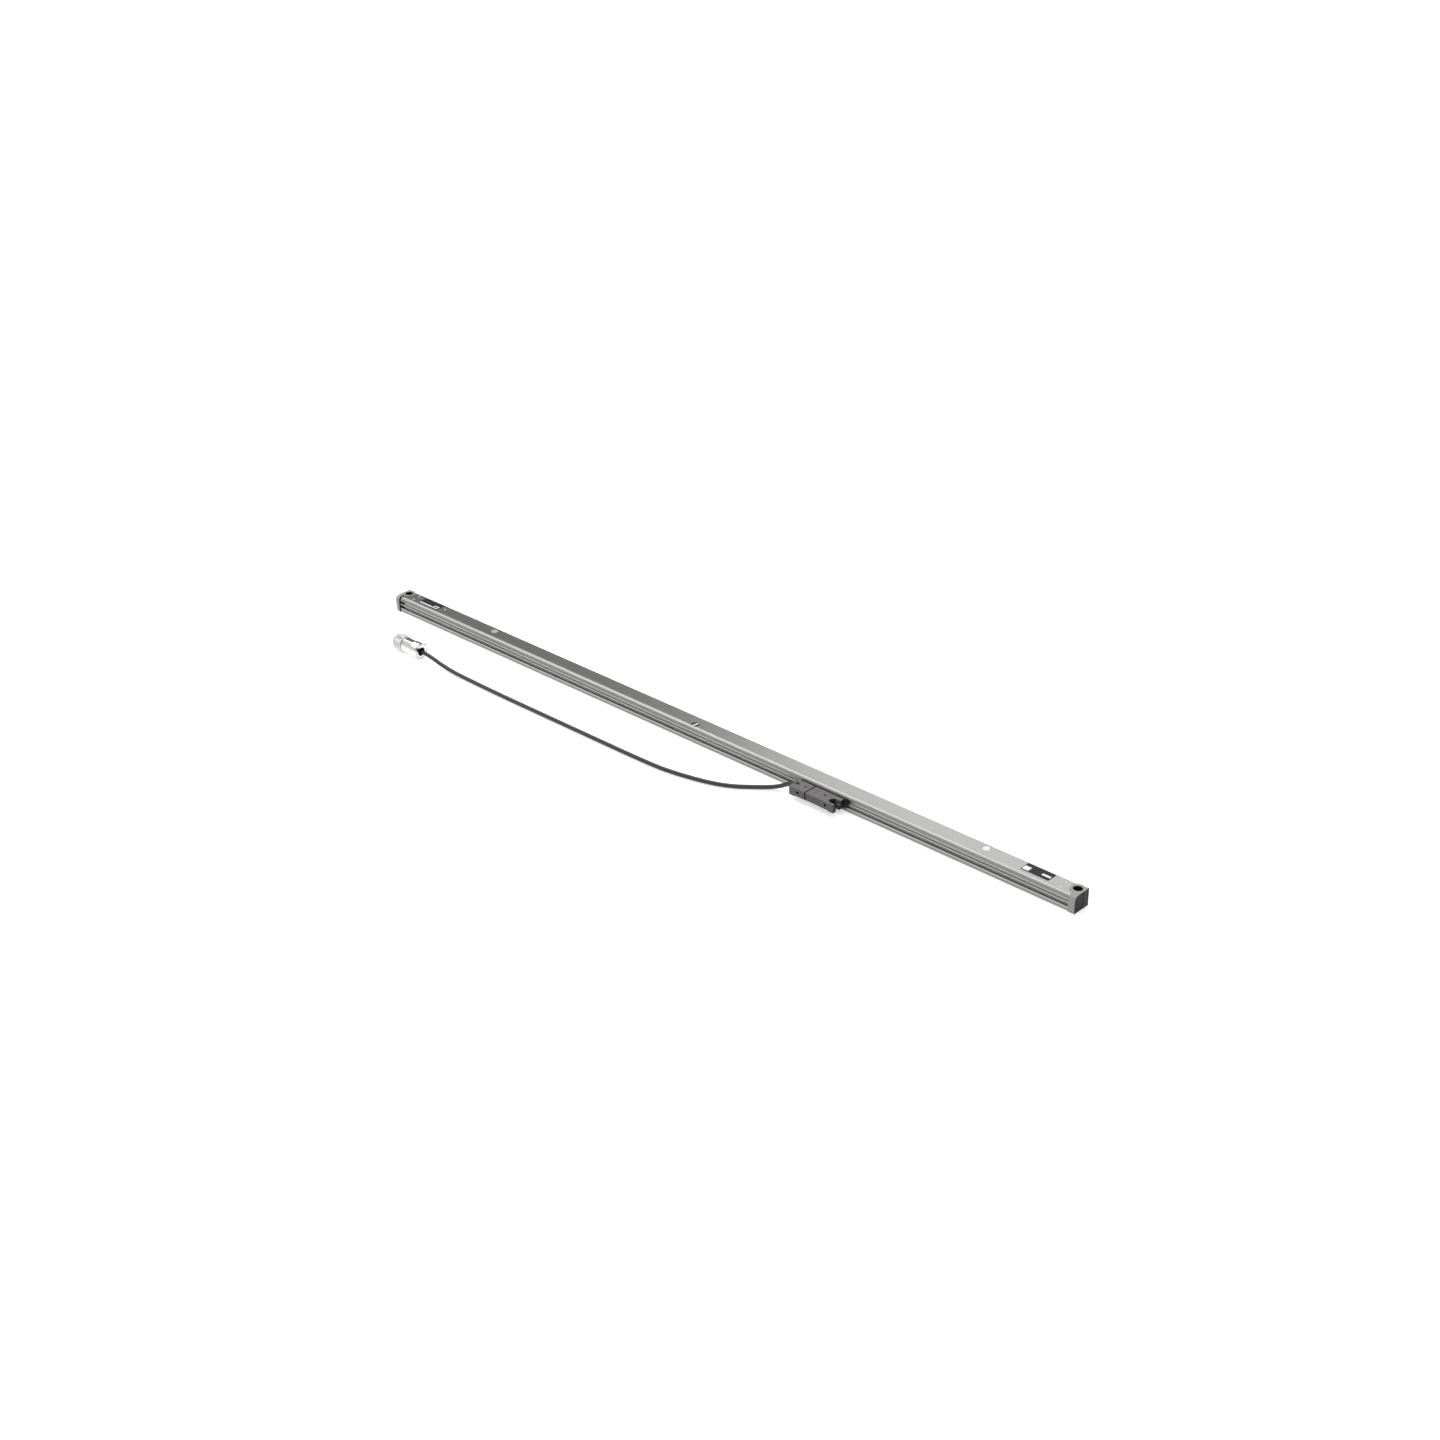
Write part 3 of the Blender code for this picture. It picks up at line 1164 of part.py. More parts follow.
def roller_mesh(axis):
    """Small roller with an axle bore."""
    half = ROLLER_WIDTH / 2
    bore = AXLE_RADIUS + GAP
    break_edge = EDGE_BREAK / 2
    profile = (
        (-half, bore),
        (-half, ROLLER_RADIUS - break_edge),
        (-half + break_edge, ROLLER_RADIUS),
        (half - break_edge, ROLLER_RADIUS),
        (half, ROLLER_RADIUS - break_edge),
        (half, bore),
    )
    return lathe(profile, axis, ROLLER_SEGMENTS)


def build_rollers(slider):
    """Guide rollers and their axles; a roller's origin lies on its axis."""
    for side_name, side in SIDES.items():
        place = (side * FACE_ROLLER_X, face_roller_y(), FACE_ROLLER_Z)
        piece(f"face_roller_{side_name}", roller_mesh("Z"), "steel_bar", slider, place, True)
        axle = pin(AXLE_RADIUS, *face_axle_span(), "Z")
        piece(f"face_axle_{side_name}", axle, "bright_screw", slider, place, True)
        place = (side * EDGE_ROLLER_X, edge_roller_y(), edge_roller_z())
        piece(f"edge_roller_{side_name}", roller_mesh("Y"), "steel_bar", slider, place, True)
        axle = pin(AXLE_RADIUS, *edge_axle_span(), "Y")
        piece(f"edge_axle_{side_name}", axle, "bright_screw", slider, place, True)


def smooth_route():
    """Evenly spaced points on a Catmull-Rom curve through the cable's route."""
    route = [Vector(point) * MM for point in CABLE_ROUTE_MM]
    axis = Vector((1, 0, 0))
    first = route[0] + axis * (route[1] - route[0]).length
    last = route[-1] - axis * (route[-2] - route[-1]).length
    points = [first] + route + [last]
    dense = []
    for a, b, c, d in zip(points, points[1:], points[2:], points[3:]):
        for t in np.linspace(0, 1, ROUTE_SAMPLES, endpoint=False):
            dense.append(0.5 * (2 * b + (c - a) * t + (2 * a - 5 * b + 4 * c - d) * t**2
                                + (3 * b - a - 3 * c + d) * t**3))
    dense.append(route[-1])
    walked = np.concatenate(([0], np.cumsum([(b - a).length for a, b in zip(dense, dense[1:])])))
    count = round(walked[-1] / CABLE_SPACING) + 1
    targets = np.linspace(0, walked[-1], count)
    columns = [np.interp(targets, walked, [p[i] for p in dense]) for i in range(3)]
    return list(zip(*columns))


def build_cable(slider):
    """The signal cable as one plain tube from the gland to the connector."""
    curve = bpy.data.curves.new("signal_cable", "CURVE")
    curve.dimensions = "3D"
    curve.bevel_depth = CABLE_RADIUS
    curve.bevel_resolution = CABLE_BEVEL_STEPS
    curve.use_fill_caps = True
    points = smooth_route()
    spline = curve.splines.new("POLY")
    spline.points.add(len(points) - 1)
    shift = Vector((HEAD_CENTRE_X, FRAME_SHIFT_Y, 0))
    for target, point in zip(spline.points, points):
        target.co = (*(Vector(point) - shift), 1)
    curve.materials.append(finish("cable_jacket"))
    cable = bpy.data.objects.new("signal_cable", curve)
    bpy.context.collection.objects.link(cable)
    cable.parent = slider


def flats(count, flat_radius, start, stop):
    """Radius rule that planes flats on a turned piece between two places."""

    def rule(angle, place, radius):
        if not start <= place <= stop or radius <= flat_radius:
            return radius
        sector = 2 * math.pi / count
        offset = (angle + sector / 2) % sector - sector / 2
        return min(radius, flat_radius / math.cos(offset))

    return rule


def build_connector(slider):
    """Round cable connector: clamp, rear nut, barrel, insert and turning ring.

    The connector points towards -X, so places along it are negative.
    """
    origin = (CONNECTOR_X - HEAD_CENTRE_X, CONNECTOR_Y, CONNECTOR_Z)
    nut_rear = -CLAMP_STAND_OUT
    nut_front = nut_rear - NUT_LENGTH
    barrel_rear = nut_front - GAP
    barrel_front = barrel_rear - BARREL_LENGTH
    ring_rear = barrel_front - GAP
    ring_front = ring_rear - RING_LENGTH
    spigot_front = ring_front + RING_BEVEL
    insert_front = spigot_front + MOUTH_DEPTH
    build_clamp(slider, origin)
    bore = CLAMP_RADIUS + GAP
    profile = (
        (nut_rear, bore),
        (nut_rear, NUT_RADIUS - NUT_CHAMFER),
        (nut_rear - NUT_CHAMFER, NUT_RADIUS),
        (nut_front + NUT_CHAMFER / 2, NUT_RADIUS),
        (nut_front, NUT_RADIUS - NUT_CHAMFER / 2),
        (nut_front, bore),
    )
    rule = flats(NUT_FLATS, NUT_FLAT_RADIUS, nut_front, nut_rear - NUT_CHAMFER)
    nut = lathe(profile, "X", FINE_SEGMENTS, rule)
    piece("connector_nut", nut, "plated_metal", slider, origin, True)
    bottom = insert_front + INSERT_LENGTH + GAP
    profile = (
        (barrel_rear, 0),
        (barrel_rear, BARREL_RADIUS - NUT_CHAMFER / 2),
        (barrel_rear - NUT_CHAMFER / 2, BARREL_RADIUS),
        (barrel_rear - NUT_CHAMFER, BARREL_RADIUS),
        (barrel_front + NUT_CHAMFER, BARREL_RADIUS),
        (barrel_front + NUT_CHAMFER / 2, BARREL_RADIUS),
        (barrel_front, BARREL_RADIUS - NUT_CHAMFER / 2),
        (barrel_front, SPIGOT_RADIUS),
        (spigot_front, SPIGOT_RADIUS),
        (spigot_front, MOUTH_RADIUS),
        (bottom, MOUTH_RADIUS),
        (bottom, 0),
    )
    rule = flats(BARREL_FLATS, BARREL_FLAT_RADIUS, barrel_front + NUT_CHAMFER, barrel_rear - NUT_CHAMFER)
    barrel = lathe(profile, "X", FINE_SEGMENTS, rule)
    piece("connector_barrel", barrel, "plated_metal", slider, origin, True)
    build_insert(slider, origin, insert_front)
    build_ring(slider, origin, ring_front, ring_rear)


def build_clamp(slider, origin):
    """Black clamp whose fingers grip the cable behind the nut."""
    outline = []
    for i in range(2 * CLAMP_FINGERS):
        radius = CLAMP_RADIUS if i % 2 == 0 else CLAMP_ROOT
        for offset in (-CLAMP_FINGER_WIDTH / 2, CLAMP_FINGER_WIDTH / 2):
            angle = math.pi * (i + offset) / CLAMP_FINGERS
            outline.append((radius * math.cos(angle), radius * math.sin(angle)))
    clamp = prism(outline, -CLAMP_LENGTH, 0, "X")
    piece("cable_clamp", clamp, "black_rubber", slider, origin)


def build_insert(slider, origin, front):
    """Insulating insert with its ring of contact sockets."""
    radius = MOUTH_RADIUS - GAP
    body = pin(radius, front, front + INSERT_LENGTH, "X", SEGMENTS)
    insert = piece("connector_insert", body, "insert_plastic", slider, origin, True)
    bm = bmesh.new()
    for i in range(SOCKET_COUNT):
        angle = 2 * math.pi * i / SOCKET_COUNT
        centre = (SOCKET_CIRCLE * math.cos(angle), SOCKET_CIRCLE * math.sin(angle))
        socket = circle(centre, SOCKET_RADIUS, SOCKET_SEGMENTS)
        add_prism(bm, socket, front - OVERSHOOT, front + SOCKET_DEPTH, "X")
    key_low = (front - OVERSHOOT, -KEY_WIDTH / 2, radius - KEY_WIDTH / 2)
    add_box(bm, key_low, (front + SOCKET_DEPTH, KEY_WIDTH / 2, radius + OVERSHOOT))
    cut(insert, "contact_sockets", to_mesh(bm), origin)


def build_ring(slider, origin, front, rear):
    """Knurled coupling ring, which turns about the connector's axis."""

    def knurl(angle, place, radius):
        inside = front + KNURL_START <= place <= rear - KNURL_START / 2
        if not inside or radius < RING_RADIUS:
            return radius
        step = round(angle * KNURL_COUNT / math.pi)
        return radius - (step % 2) * KNURL_DEPTH

    profile = (
        (front, RING_BORE),
        (front, RING_RADIUS - RING_BEVEL),
        (front + RING_BEVEL, RING_RADIUS - KNURL_DEPTH),
        (front + KNURL_START, RING_RADIUS - KNURL_DEPTH),
        (front + KNURL_START, RING_RADIUS),
        (rear - KNURL_START / 2, RING_RADIUS),
        (rear - KNURL_START / 2, RING_RADIUS - KNURL_DEPTH),
        (rear, RING_RADIUS - KNURL_DEPTH),
        (rear, RING_BORE),
    )
    ring = lathe(profile, "X", 2 * KNURL_COUNT, knurl)
    piece("coupling_ring", ring, "plated_metal", slider, origin)


def main():
    clear_scene()
    frame = empty("scale_frame", None, (0, FRAME_SHIFT_Y, 0))
    build_housing(frame)
    for side_name, side in SIDES.items():
        build_end_cap(frame, side_name, side)
        build_end_gasket(frame, side_name, side)
        build_end_buffer(frame, side_name, side)
    build_top_fasteners(frame)
    build_labels(frame)
    build_scale_bar(frame)
    build_lip_seals(frame)
    slider = empty("slider_frame", frame, (HEAD_CENTRE_X, 0, 0))
    build_head_blocks(slider)
    build_head_fittings(slider)
    build_neck(slider)
    build_carriage(slider)
    build_sensor(slider)
    build_preload_spring(slider)
    build_rollers(slider)
    build_cable(slider)
    build_connector(slider)


main()
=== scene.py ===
import math

import bmesh
import bpy
import numpy as np
from mathutils import Matrix, Vector


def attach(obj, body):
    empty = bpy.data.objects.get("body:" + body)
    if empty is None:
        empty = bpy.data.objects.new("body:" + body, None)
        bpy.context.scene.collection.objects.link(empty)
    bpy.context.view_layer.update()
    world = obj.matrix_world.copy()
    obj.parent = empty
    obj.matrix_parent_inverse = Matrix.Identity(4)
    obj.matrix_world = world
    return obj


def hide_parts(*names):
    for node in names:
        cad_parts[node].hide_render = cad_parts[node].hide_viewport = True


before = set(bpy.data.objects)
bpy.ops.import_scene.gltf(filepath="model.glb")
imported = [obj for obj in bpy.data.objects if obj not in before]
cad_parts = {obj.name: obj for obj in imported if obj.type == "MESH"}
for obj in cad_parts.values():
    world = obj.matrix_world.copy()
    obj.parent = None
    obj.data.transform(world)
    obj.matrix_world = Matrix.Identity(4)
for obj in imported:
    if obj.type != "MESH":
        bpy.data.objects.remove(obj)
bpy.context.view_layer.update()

# Shapes are written in millimetres in the scale's own frame (X along the housing, Y = 0 at the
# caps' front, Z = 0 at their underside). TO_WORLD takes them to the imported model's frame.
MM = 0.001
SHIFT_Y = -2.0
TO_WORLD = Matrix.Scale(MM, 4) @ Matrix.Translation((0, SHIFT_Y, 0))

# Half lengths: over the caps, to the inner side of their plates, and of the extrusion
END = 515.8
PLATE = 509.8
BODY_END = 507.5
# Caps' depth and height, and the extrusion's faces
CAP_D, CAP_H = 23.6, 20.0
FRONT, BACK, LOW, TOP = 0.4, 22.7, 0.6, 19.4
# Centre of the curve that rounds the front upper edge, in Y and Z
SHOULDER = (6.5, 15.2)
# Mounting eyes: place in X and Y, outer radius, and the room cut for them
EYE = (508.0, 15.6)
EYE_RADIUS = 8.0
EYE_ROOM = 8.3
# Groove in the outer face of each cap, in Y and Z
GROOVE_LOW, GROOVE_HIGH = (13.8, 2.5), (17.4, 17.5)
# Reading head: middle, half length, front and back, underside and top
HEAD_X = 189.8
HEAD_HALF = 31.0
HEAD_F, HEAD_B = -19.6, -1.8
HEAD_Z0, HEAD_Z1 = 7.0, 16.2
# Places on the head, with X from its middle: the open screw slot with its counterbore, the slot
# and bore where the cable enters, the small screws in the top and the tapped holes in the front
SCREW_SLOT = (25.0, -12.2)
SCREW_SLOT_RADIUS = 2.75
COUNTERBORE_RADIUS = 4.7
COUNTERBORE_FLOOR = 11.3
CABLE_ENTRY = (-27.7, -10.5)
CABLE_ENTRY_Z = 12.9
CABLE_SLOT_RADIUS = 2.9
CABLE_SLOT_FLOOR = 10.0
CABLE_BORE_RADIUS = 2.7
SET_SCREWS = {"left": -16.1, "right": 10.6}
SET_SCREW_Y = -9.2
FRONT_HOLES = {"left": -19.25, "right": 19.25}
FRONT_HOLE_Z = 11.7
# Where the cable ends in the connector's rear nut
CONN = (-385.9, -68.5, 10.7)
SIDES = {"left": -1.0, "right": 1.0}

# Camera fitted to the photograph
CAMERA_AZ = 0.7597064
CAMERA_EL = 0.4951256
CAMERA_ROLL = -0.0116903
CAMERA_DISTANCE = 2.5819617
CAMERA_SLIDE = (0.0285756, 0.0266255)
FOCAL_PX = 2312.608
IMAGE_PX = 1440
SENSOR = 36.0


def build_camera():
    az, el, roll = CAMERA_AZ, CAMERA_EL, CAMERA_ROLL
    back = Vector((math.sin(az) * math.cos(el), -math.cos(az) * math.cos(el), math.sin(el)))
    level = Vector((math.cos(az), math.sin(az), 0.0))
    above = back.cross(level)
    right = level * math.cos(roll) + above * math.sin(roll)
    up = -level * math.sin(roll) + above * math.cos(roll)
    place = back * CAMERA_DISTANCE + right * CAMERA_SLIDE[0] + up * CAMERA_SLIDE[1]
    place.y += SHIFT_Y * MM
    data = bpy.data.cameras.new("photo_camera")
    data.sensor_width = SENSOR
    data.lens = FOCAL_PX / IMAGE_PX * SENSOR
    data.clip_start = 0.01
    data.clip_end = 100
    cam = bpy.data.objects.new("photo_camera", data)
    bpy.context.scene.collection.objects.link(cam)
    cam.matrix_world = Matrix((
        (right.x, up.x, back.x, place.x),
        (right.y, up.y, back.y, place.y),
        (right.z, up.z, back.z, place.z),
        (0, 0, 0, 1),
    ))
    bpy.context.scene.camera = cam


# Mesh helpers


def to_mesh(bm):
    bmesh.ops.recalc_face_normals(bm, faces=bm.faces)
    mesh = bpy.data.meshes.new("shape")
    bm.to_mesh(mesh)
    bm.free()
    return mesh


def along(axis, a, b, c):
    """A point with c along an axis and a, b across it."""
    return {"X": (c, a, b), "Y": (a, c, b), "Z": (a, b, c)}[axis]


def prism(outline, low, high, axis):
    bm = bmesh.new()
    first = [bm.verts.new(along(axis, a, b, low)) for a, b in outline]
    last = [bm.verts.new(along(axis, a, b, high)) for a, b in outline]
    bm.faces.new(first)
    bm.faces.new(last)
    for i in range(len(outline)):
        j = (i + 1) % len(outline)
        bm.faces.new((first[i], first[j], last[j], last[i]))
    return to_mesh(bm)


def box(low, high):
    outline = ((low[0], low[1]), (high[0], low[1]), (high[0], high[1]), (low[0], high[1]))
    return prism(outline, low[2], high[2], "Z")


def arc(centre, radii, start, stop, steps):
    angles = np.radians(np.linspace(start, stop, steps + 1))
    return [(centre[0] + radii[0] * math.cos(a), centre[1] + radii[1] * math.sin(a)) for a in angles]


def circle(centre, radius, count=48):
    return arc(centre, (radius, radius), 0, 360 * (count - 1) / count, count - 1)


def rounded(points, steps=3):
    """Outline with each corner (a, b, radius) rounded; radius 0 keeps it sharp."""
    result = []
    count = len(points)
    for i, (a, b, radius) in enumerate(points):
        here = Vector((a, b))
        before = Vector(points[i - 1][:2])
        after = Vector(points[(i + 1) % count][:2])
        one = (before - here).normalized()
        two = (after - here).normalized()
        turn = math.pi - one.angle(two)
        if radius <= 0 or turn < 0.02:
            result.append((a, b))
            continue
        reach = radius * math.tan(turn / 2)
        start = here + one * reach
        stop = here + two * reach
        middle = here + (one + two).normalized() * (radius / math.cos(turn / 2))
        u = start - middle
        v = stop - middle
        whole = u.angle(v)
        for k in range(steps + 1):
            t = k / steps
            p = (u * math.sin((1 - t) * whole) + v * math.sin(t * whole)) / math.sin(whole)
            result.append((middle.x + p.x, middle.y + p.y))
    return result


def rectangle(low, high, radius, steps=4):
    return rounded([(low[0], low[1], radius), (high[0], low[1], radius),
                    (high[0], high[1], radius), (low[0], high[1], radius)], steps)


def open_slot(centre, radius, reach, steps=24):
    """Outline of a slot with one round end that runs out to reach in X."""
    side = 1 if reach > centre[0] else -1
    start = 90 if side > 0 else -90
    points = arc(centre, (radius, radius), start, start + 180, steps)
    return points + [(reach, points[-1][1]), (reach, points[0][1])]


def lathe(profile, axis, segments=64, wave=None):
    """Turns a closed profile of (place, radius) round an axis; wave may vary the radius."""
    bm = bmesh.new()
    rings = []
    for place, radius in profile:
        ring = []
        for i in range(1 if radius == 0 else segments):
            angle = 2 * math.pi * i / segments
            r = wave(angle, place, radius) if wave and radius else radius
            ring.append(bm.verts.new(along(axis, r * math.cos(angle), r * math.sin(angle), place)))
        rings.append(ring)
    for one, two in zip(rings, rings[1:] + rings[:1]):
        if len(one) == 1 and len(two) == 1:
            continue
        for i in range(segments):
            j = (i + 1) % segments
            if len(one) == 1:
                bm.faces.new((one[0], two[i], two[j]))
            elif len(two) == 1:
                bm.faces.new((one[i], one[j], two[0]))
            else:
                bm.faces.new((one[i], one[j], two[j], two[i]))
    return to_mesh(bm)


def flats(count, reach, low=-math.inf, high=math.inf):
    """Wave that cuts a turned shape to flats at reach from its axis, from low to high."""
    sector = 2 * math.pi / count

    def wave(angle, place, radius):
        if not low <= place <= high:
            return radius
        offset = (angle + sector / 2) % sector - sector / 2
        return min(radius, reach / math.cos(offset))

    return wave


def moved(mesh, place):
    mesh.transform(Matrix.Translation(place))
    return mesh


def turned(mesh, degrees):
    mesh.transform(Matrix.Rotation(math.radians(degrees), 4, "Z"))
    return mesh


def joined(meshes):
    bm = bmesh.new()
    for mesh in meshes:
        bm.from_mesh(mesh)
    return to_mesh(bm)


def temporary(mesh):
    obj = bpy.data.objects.new("work", mesh)
    bpy.context.scene.collection.objects.link(obj)
    return obj


def evaluated(obj):
    depsgraph = bpy.context.evaluated_depsgraph_get()
    return bpy.data.meshes.new_from_object(obj.evaluated_get(depsgraph), depsgraph=depsgraph)


def carve(mesh, cuts=(), adds=(), keeps=(), edge=0.0, segments=2, angle=35):
    """Joins, cuts and intersects closed shapes exactly, then rounds the sharp edges by edge."""
    work = temporary(mesh)
    helpers = []
    for operation, group in (("UNION", adds), ("DIFFERENCE", cuts), ("INTERSECT", keeps)):
        for other in group:
            helper = temporary(other)
            helpers.append(helper)
            modifier = work.modifiers.new("cut", "BOOLEAN")
            modifier.operation = operation
            modifier.solver = "EXACT"
            modifier.object = helper
    result = evaluated(work)
    result.shade_smooth()
    if edge:
        work.modifiers.clear()
        work.data = result
        modifier = work.modifiers.new("edges", "BEVEL")
        modifier.width = edge
        modifier.segments = segments
        modifier.limit_method = "ANGLE"
        modifier.angle_limit = math.radians(angle)
        modifier.harden_normals = False
        result = evaluated(work)
    for obj in helpers + [work]:
        bpy.data.objects.remove(obj)
    return result


def piece(name, mesh, material, body, nodes=(), smooth=35):
    """Adds a visible piece that rides on a body and may stand for CAD nodes."""
    mesh.transform(TO_WORLD)
    mesh.name = name
    mesh.shade_smooth()
    mesh.set_sharp_from_angle(angle=math.radians(smooth))
    mesh.materials.clear()
    mesh.materials.append(material)
    obj = bpy.data.objects.new(name, mesh)
    bpy.context.scene.collection.objects.link(obj)
    modifier = obj.modifiers.new("flat", "WEIGHTED_NORMAL")
    modifier.keep_sharp = True
    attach(obj, body)
    if nodes:
        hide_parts(*nodes)
    return obj


# Materials


class Nodes:
    """Short way to write a node tree."""

    def __init__(self, tree):
        self.tree = tree

    def add(self, kind, **values):
        """Adds a node; each value is a property, or an input whose name has _ for a space."""
        node = self.tree.nodes.new(kind)
        for key, value in values.items():
            if hasattr(node, key):
                setattr(node, key, value)
            else:
                node.inputs[key.replace("_", " ")].default_value = value
        return node

    def link(self, one, two):
        self.tree.links.new(one, two)

    def ramp(self, source, low, high, start=0.3, stop=0.7, **more):
        node = self.add("ShaderNodeMapRange", From_Min=start, From_Max=stop, To_Min=low, To_Max=high, **more)
        self.link(source, node.inputs["Value"])
        return node.outputs["Result"]

    def split(self, source):
        node = self.add("ShaderNodeSeparateXYZ")
        self.link(source, node.inputs[0])
        return node.outputs

    def combine(self, operation, sources):
        """All masks together: MULTIPLY keeps what they share, MAXIMUM what any of them holds."""
        result = sources[0]
        for source in sources[1:]:
            node = self.add("ShaderNodeMath", operation=operation)
            self.link(result, node.inputs[0])
            self.link(source, node.inputs[1])
            result = node.outputs[0]
        return result


class Finish(Nodes):
    """A material, painted in the coordinates of the object that wears it."""

    def __init__(self, name):
        self.material = bpy.data.materials.new(name)
        self.material.use_nodes = True
        super().__init__(self.material.node_tree)
        self.shader = self.tree.nodes["Principled BSDF"]
        self.coords = self.add("ShaderNodeTexCoord").outputs["Object"]

    def noise(self, scale, detail=3.0, roughness=0.55, seed=(0.0, 0.0, 0.0)):
        mapping = self.add("ShaderNodeMapping", Scale=scale, Location=seed)
        self.link(self.coords, mapping.inputs["Vector"])
        node = self.add("ShaderNodeTexNoise", Scale=1.0, Detail=detail, Roughness=roughness)
        self.link(mapping.outputs["Vector"], node.inputs["Vector"])
        return node.outputs["Fac"]

    def mix(self, source, one, two):
        node = self.add("ShaderNodeMix", data_type="RGBA")
        self.link(source, node.inputs[0])
        for index, value in ((6, one), (7, two)):
            if isinstance(value, tuple):
                node.inputs[index].default_value = (*value, 1.0)
            else:
                self.link(value, node.inputs[index])
        return node.outputs[2]

    def bump(self, source, strength, distance):
        node = self.add("ShaderNodeBump", Strength=strength, Distance=distance)
        self.link(source, node.inputs["Height"])
        return node.outputs["Normal"]

    def set(self, socket, value):
        target = self.shader.inputs[socket]
        if isinstance(value, (int, float)):
            target.default_value = value
        elif isinstance(value, tuple):
            target.default_value = (*value, 1.0)
        else:
            self.link(value, target)

    def box_mask(self, low=(None, None, None), high=(None, None, None)):
        """1 inside a box given in the scale's own frame; None leaves a side open."""
        places = self.split(self.coords)
        masks = []
        for axis, a, b in zip("XYZ", low, high):
            shift = SHIFT_Y if axis == "Y" else 0.0
            if a is not None:
                a = (a + shift) * MM
                masks.append(self.ramp(places[axis], 0.0, 1.0, a - MASK_SOFT, a + MASK_SOFT))
            if b is not None:
                b = (b + shift) * MM
                masks.append(self.ramp(places[axis], 0.0, 1.0, b + MASK_SOFT, b - MASK_SOFT))
        return self.combine("MULTIPLY", masks)

    def round_mask(self, axis, centre, radius):
        """1 inside an endless cylinder along an axis through a place in the scale's own frame."""
        places = self.split(self.coords)
        flat = self.add("ShaderNodeCombineXYZ")
        middle = [centre[0] * MM, (centre[1] + SHIFT_Y) * MM, centre[2] * MM]
        for index, name in enumerate("XYZ"):
            if name == axis:
                middle[index] = 0.0
            else:
                self.link(places[name], flat.inputs[name])
        reach = self.add("ShaderNodeVectorMath", operation="DISTANCE")
        reach.inputs[1].default_value = middle
        self.link(flat.outputs[0], reach.inputs[0])
        size = radius * MM
        return self.ramp(reach.outputs["Value"], 0.0, 1.0, size + MASK_SOFT, size - MASK_SOFT)

    def facing_mask(self, axis, sign):
        """1 on faces that look along an axis of the object."""
        normal = self.split(self.add("ShaderNodeTexCoord").outputs["Normal"])
        return self.ramp(normal[axis], 0.0, 1.0, sign * FACING[0], sign * FACING[1])

    def paint_light_and_shade(self, masks, colour):
        """Paints light and shade: another colour where the masks meet; a number scales what is there."""
        base = self.shader.inputs["Base Color"]
        colour_beneath = base.links[0].from_socket
        if not isinstance(colour, tuple):
            node = self.add("ShaderNodeVectorMath", operation="SCALE")
            self.link(colour_beneath, node.inputs[0])
            node.inputs["Scale"].default_value = colour
            colour = node.outputs[0]
        self.link(self.mix(self.combine("MULTIPLY", masks), colour_beneath, colour), base)


# Half width of a mask's soft edge in metres, and the slopes between which a face counts as facing
MASK_SOFT = 0.0002
FACING = (0.75, 0.95)
# Broad mottling: its scale, its seed, its share and how much darker it is than the grain
MOTTLE_SCALE = (60.0, 60.0, 60.0)
MOTTLE_SEED = (3.1, 1.7, 0.4)
MOTTLE_SHARE = 0.35
MOTTLE_DEPTH = 1.5


def shade(colour, factor):
    return tuple(min(1.0, c * factor) for c in colour)


def surface(name, colour, rough, metallic, grain, spread, rough_spread, bump, height, level=0.5):
    """A finish with fine grain in its colour, roughness and relief, and broad mottling."""
    n = Finish(name)
    fine = n.noise(grain if isinstance(grain, tuple) else (grain, grain, grain), 4.0)
    broad = n.noise(MOTTLE_SCALE, 2.0, seed=MOTTLE_SEED)
    fine_colour = n.mix(n.ramp(fine, 0.0, 1.0), shade(colour, 1 - spread), shade(colour, 1 + spread))
    mottled = shade(colour, 1 - MOTTLE_DEPTH * spread)
    n.set("Base Color", n.mix(n.ramp(broad, 0.0, MOTTLE_SHARE), fine_colour, mottled))
    n.set("Roughness", n.ramp(fine, rough - rough_spread, rough + rough_spread))
    n.set("Metallic", metallic)
    n.set("Specular IOR Level", level)
    n.set("Normal", n.bump(fine, bump, height))
    return n


def plain(*look, **more):
    """A finish that is the same on every face."""
    return surface(*look, **more).material


# Tones of the painted shade on faces turned from the light and in hollows
CAP_END_PAINTED_SHADE = (0.012, 0.012, 0.0115)
CAP_GROOVE_PAINTED_SHADE = (0.008, 0.008, 0.008)
CAP_EYE_PAINTED_SHADE = (0.022, 0.022, 0.021)
HEAD_PAINTED_SHADE = (0.012, 0.012, 0.012)
# How far the painted shade on the caps' ends reaches in, and the radius of painted shade in their eyes
CAP_END_SHADE_DEPTH = 2.2
CAP_EYE_SHADE = 5.3
# Share of the head's tone kept on its front, a painted shade
HEAD_FRONT_SHADE_SHARE = 0.72
# Bands of painted light and shade on the housing's front: low and high in Z, and their share of the tone
# beneath; the low band is lighter, the one under the shoulder darker
HOUSING_LIGHT_AND_SHADE_BANDS = ((3.0, 13.8, 1.27), (13.8, 16.6, 0.72))


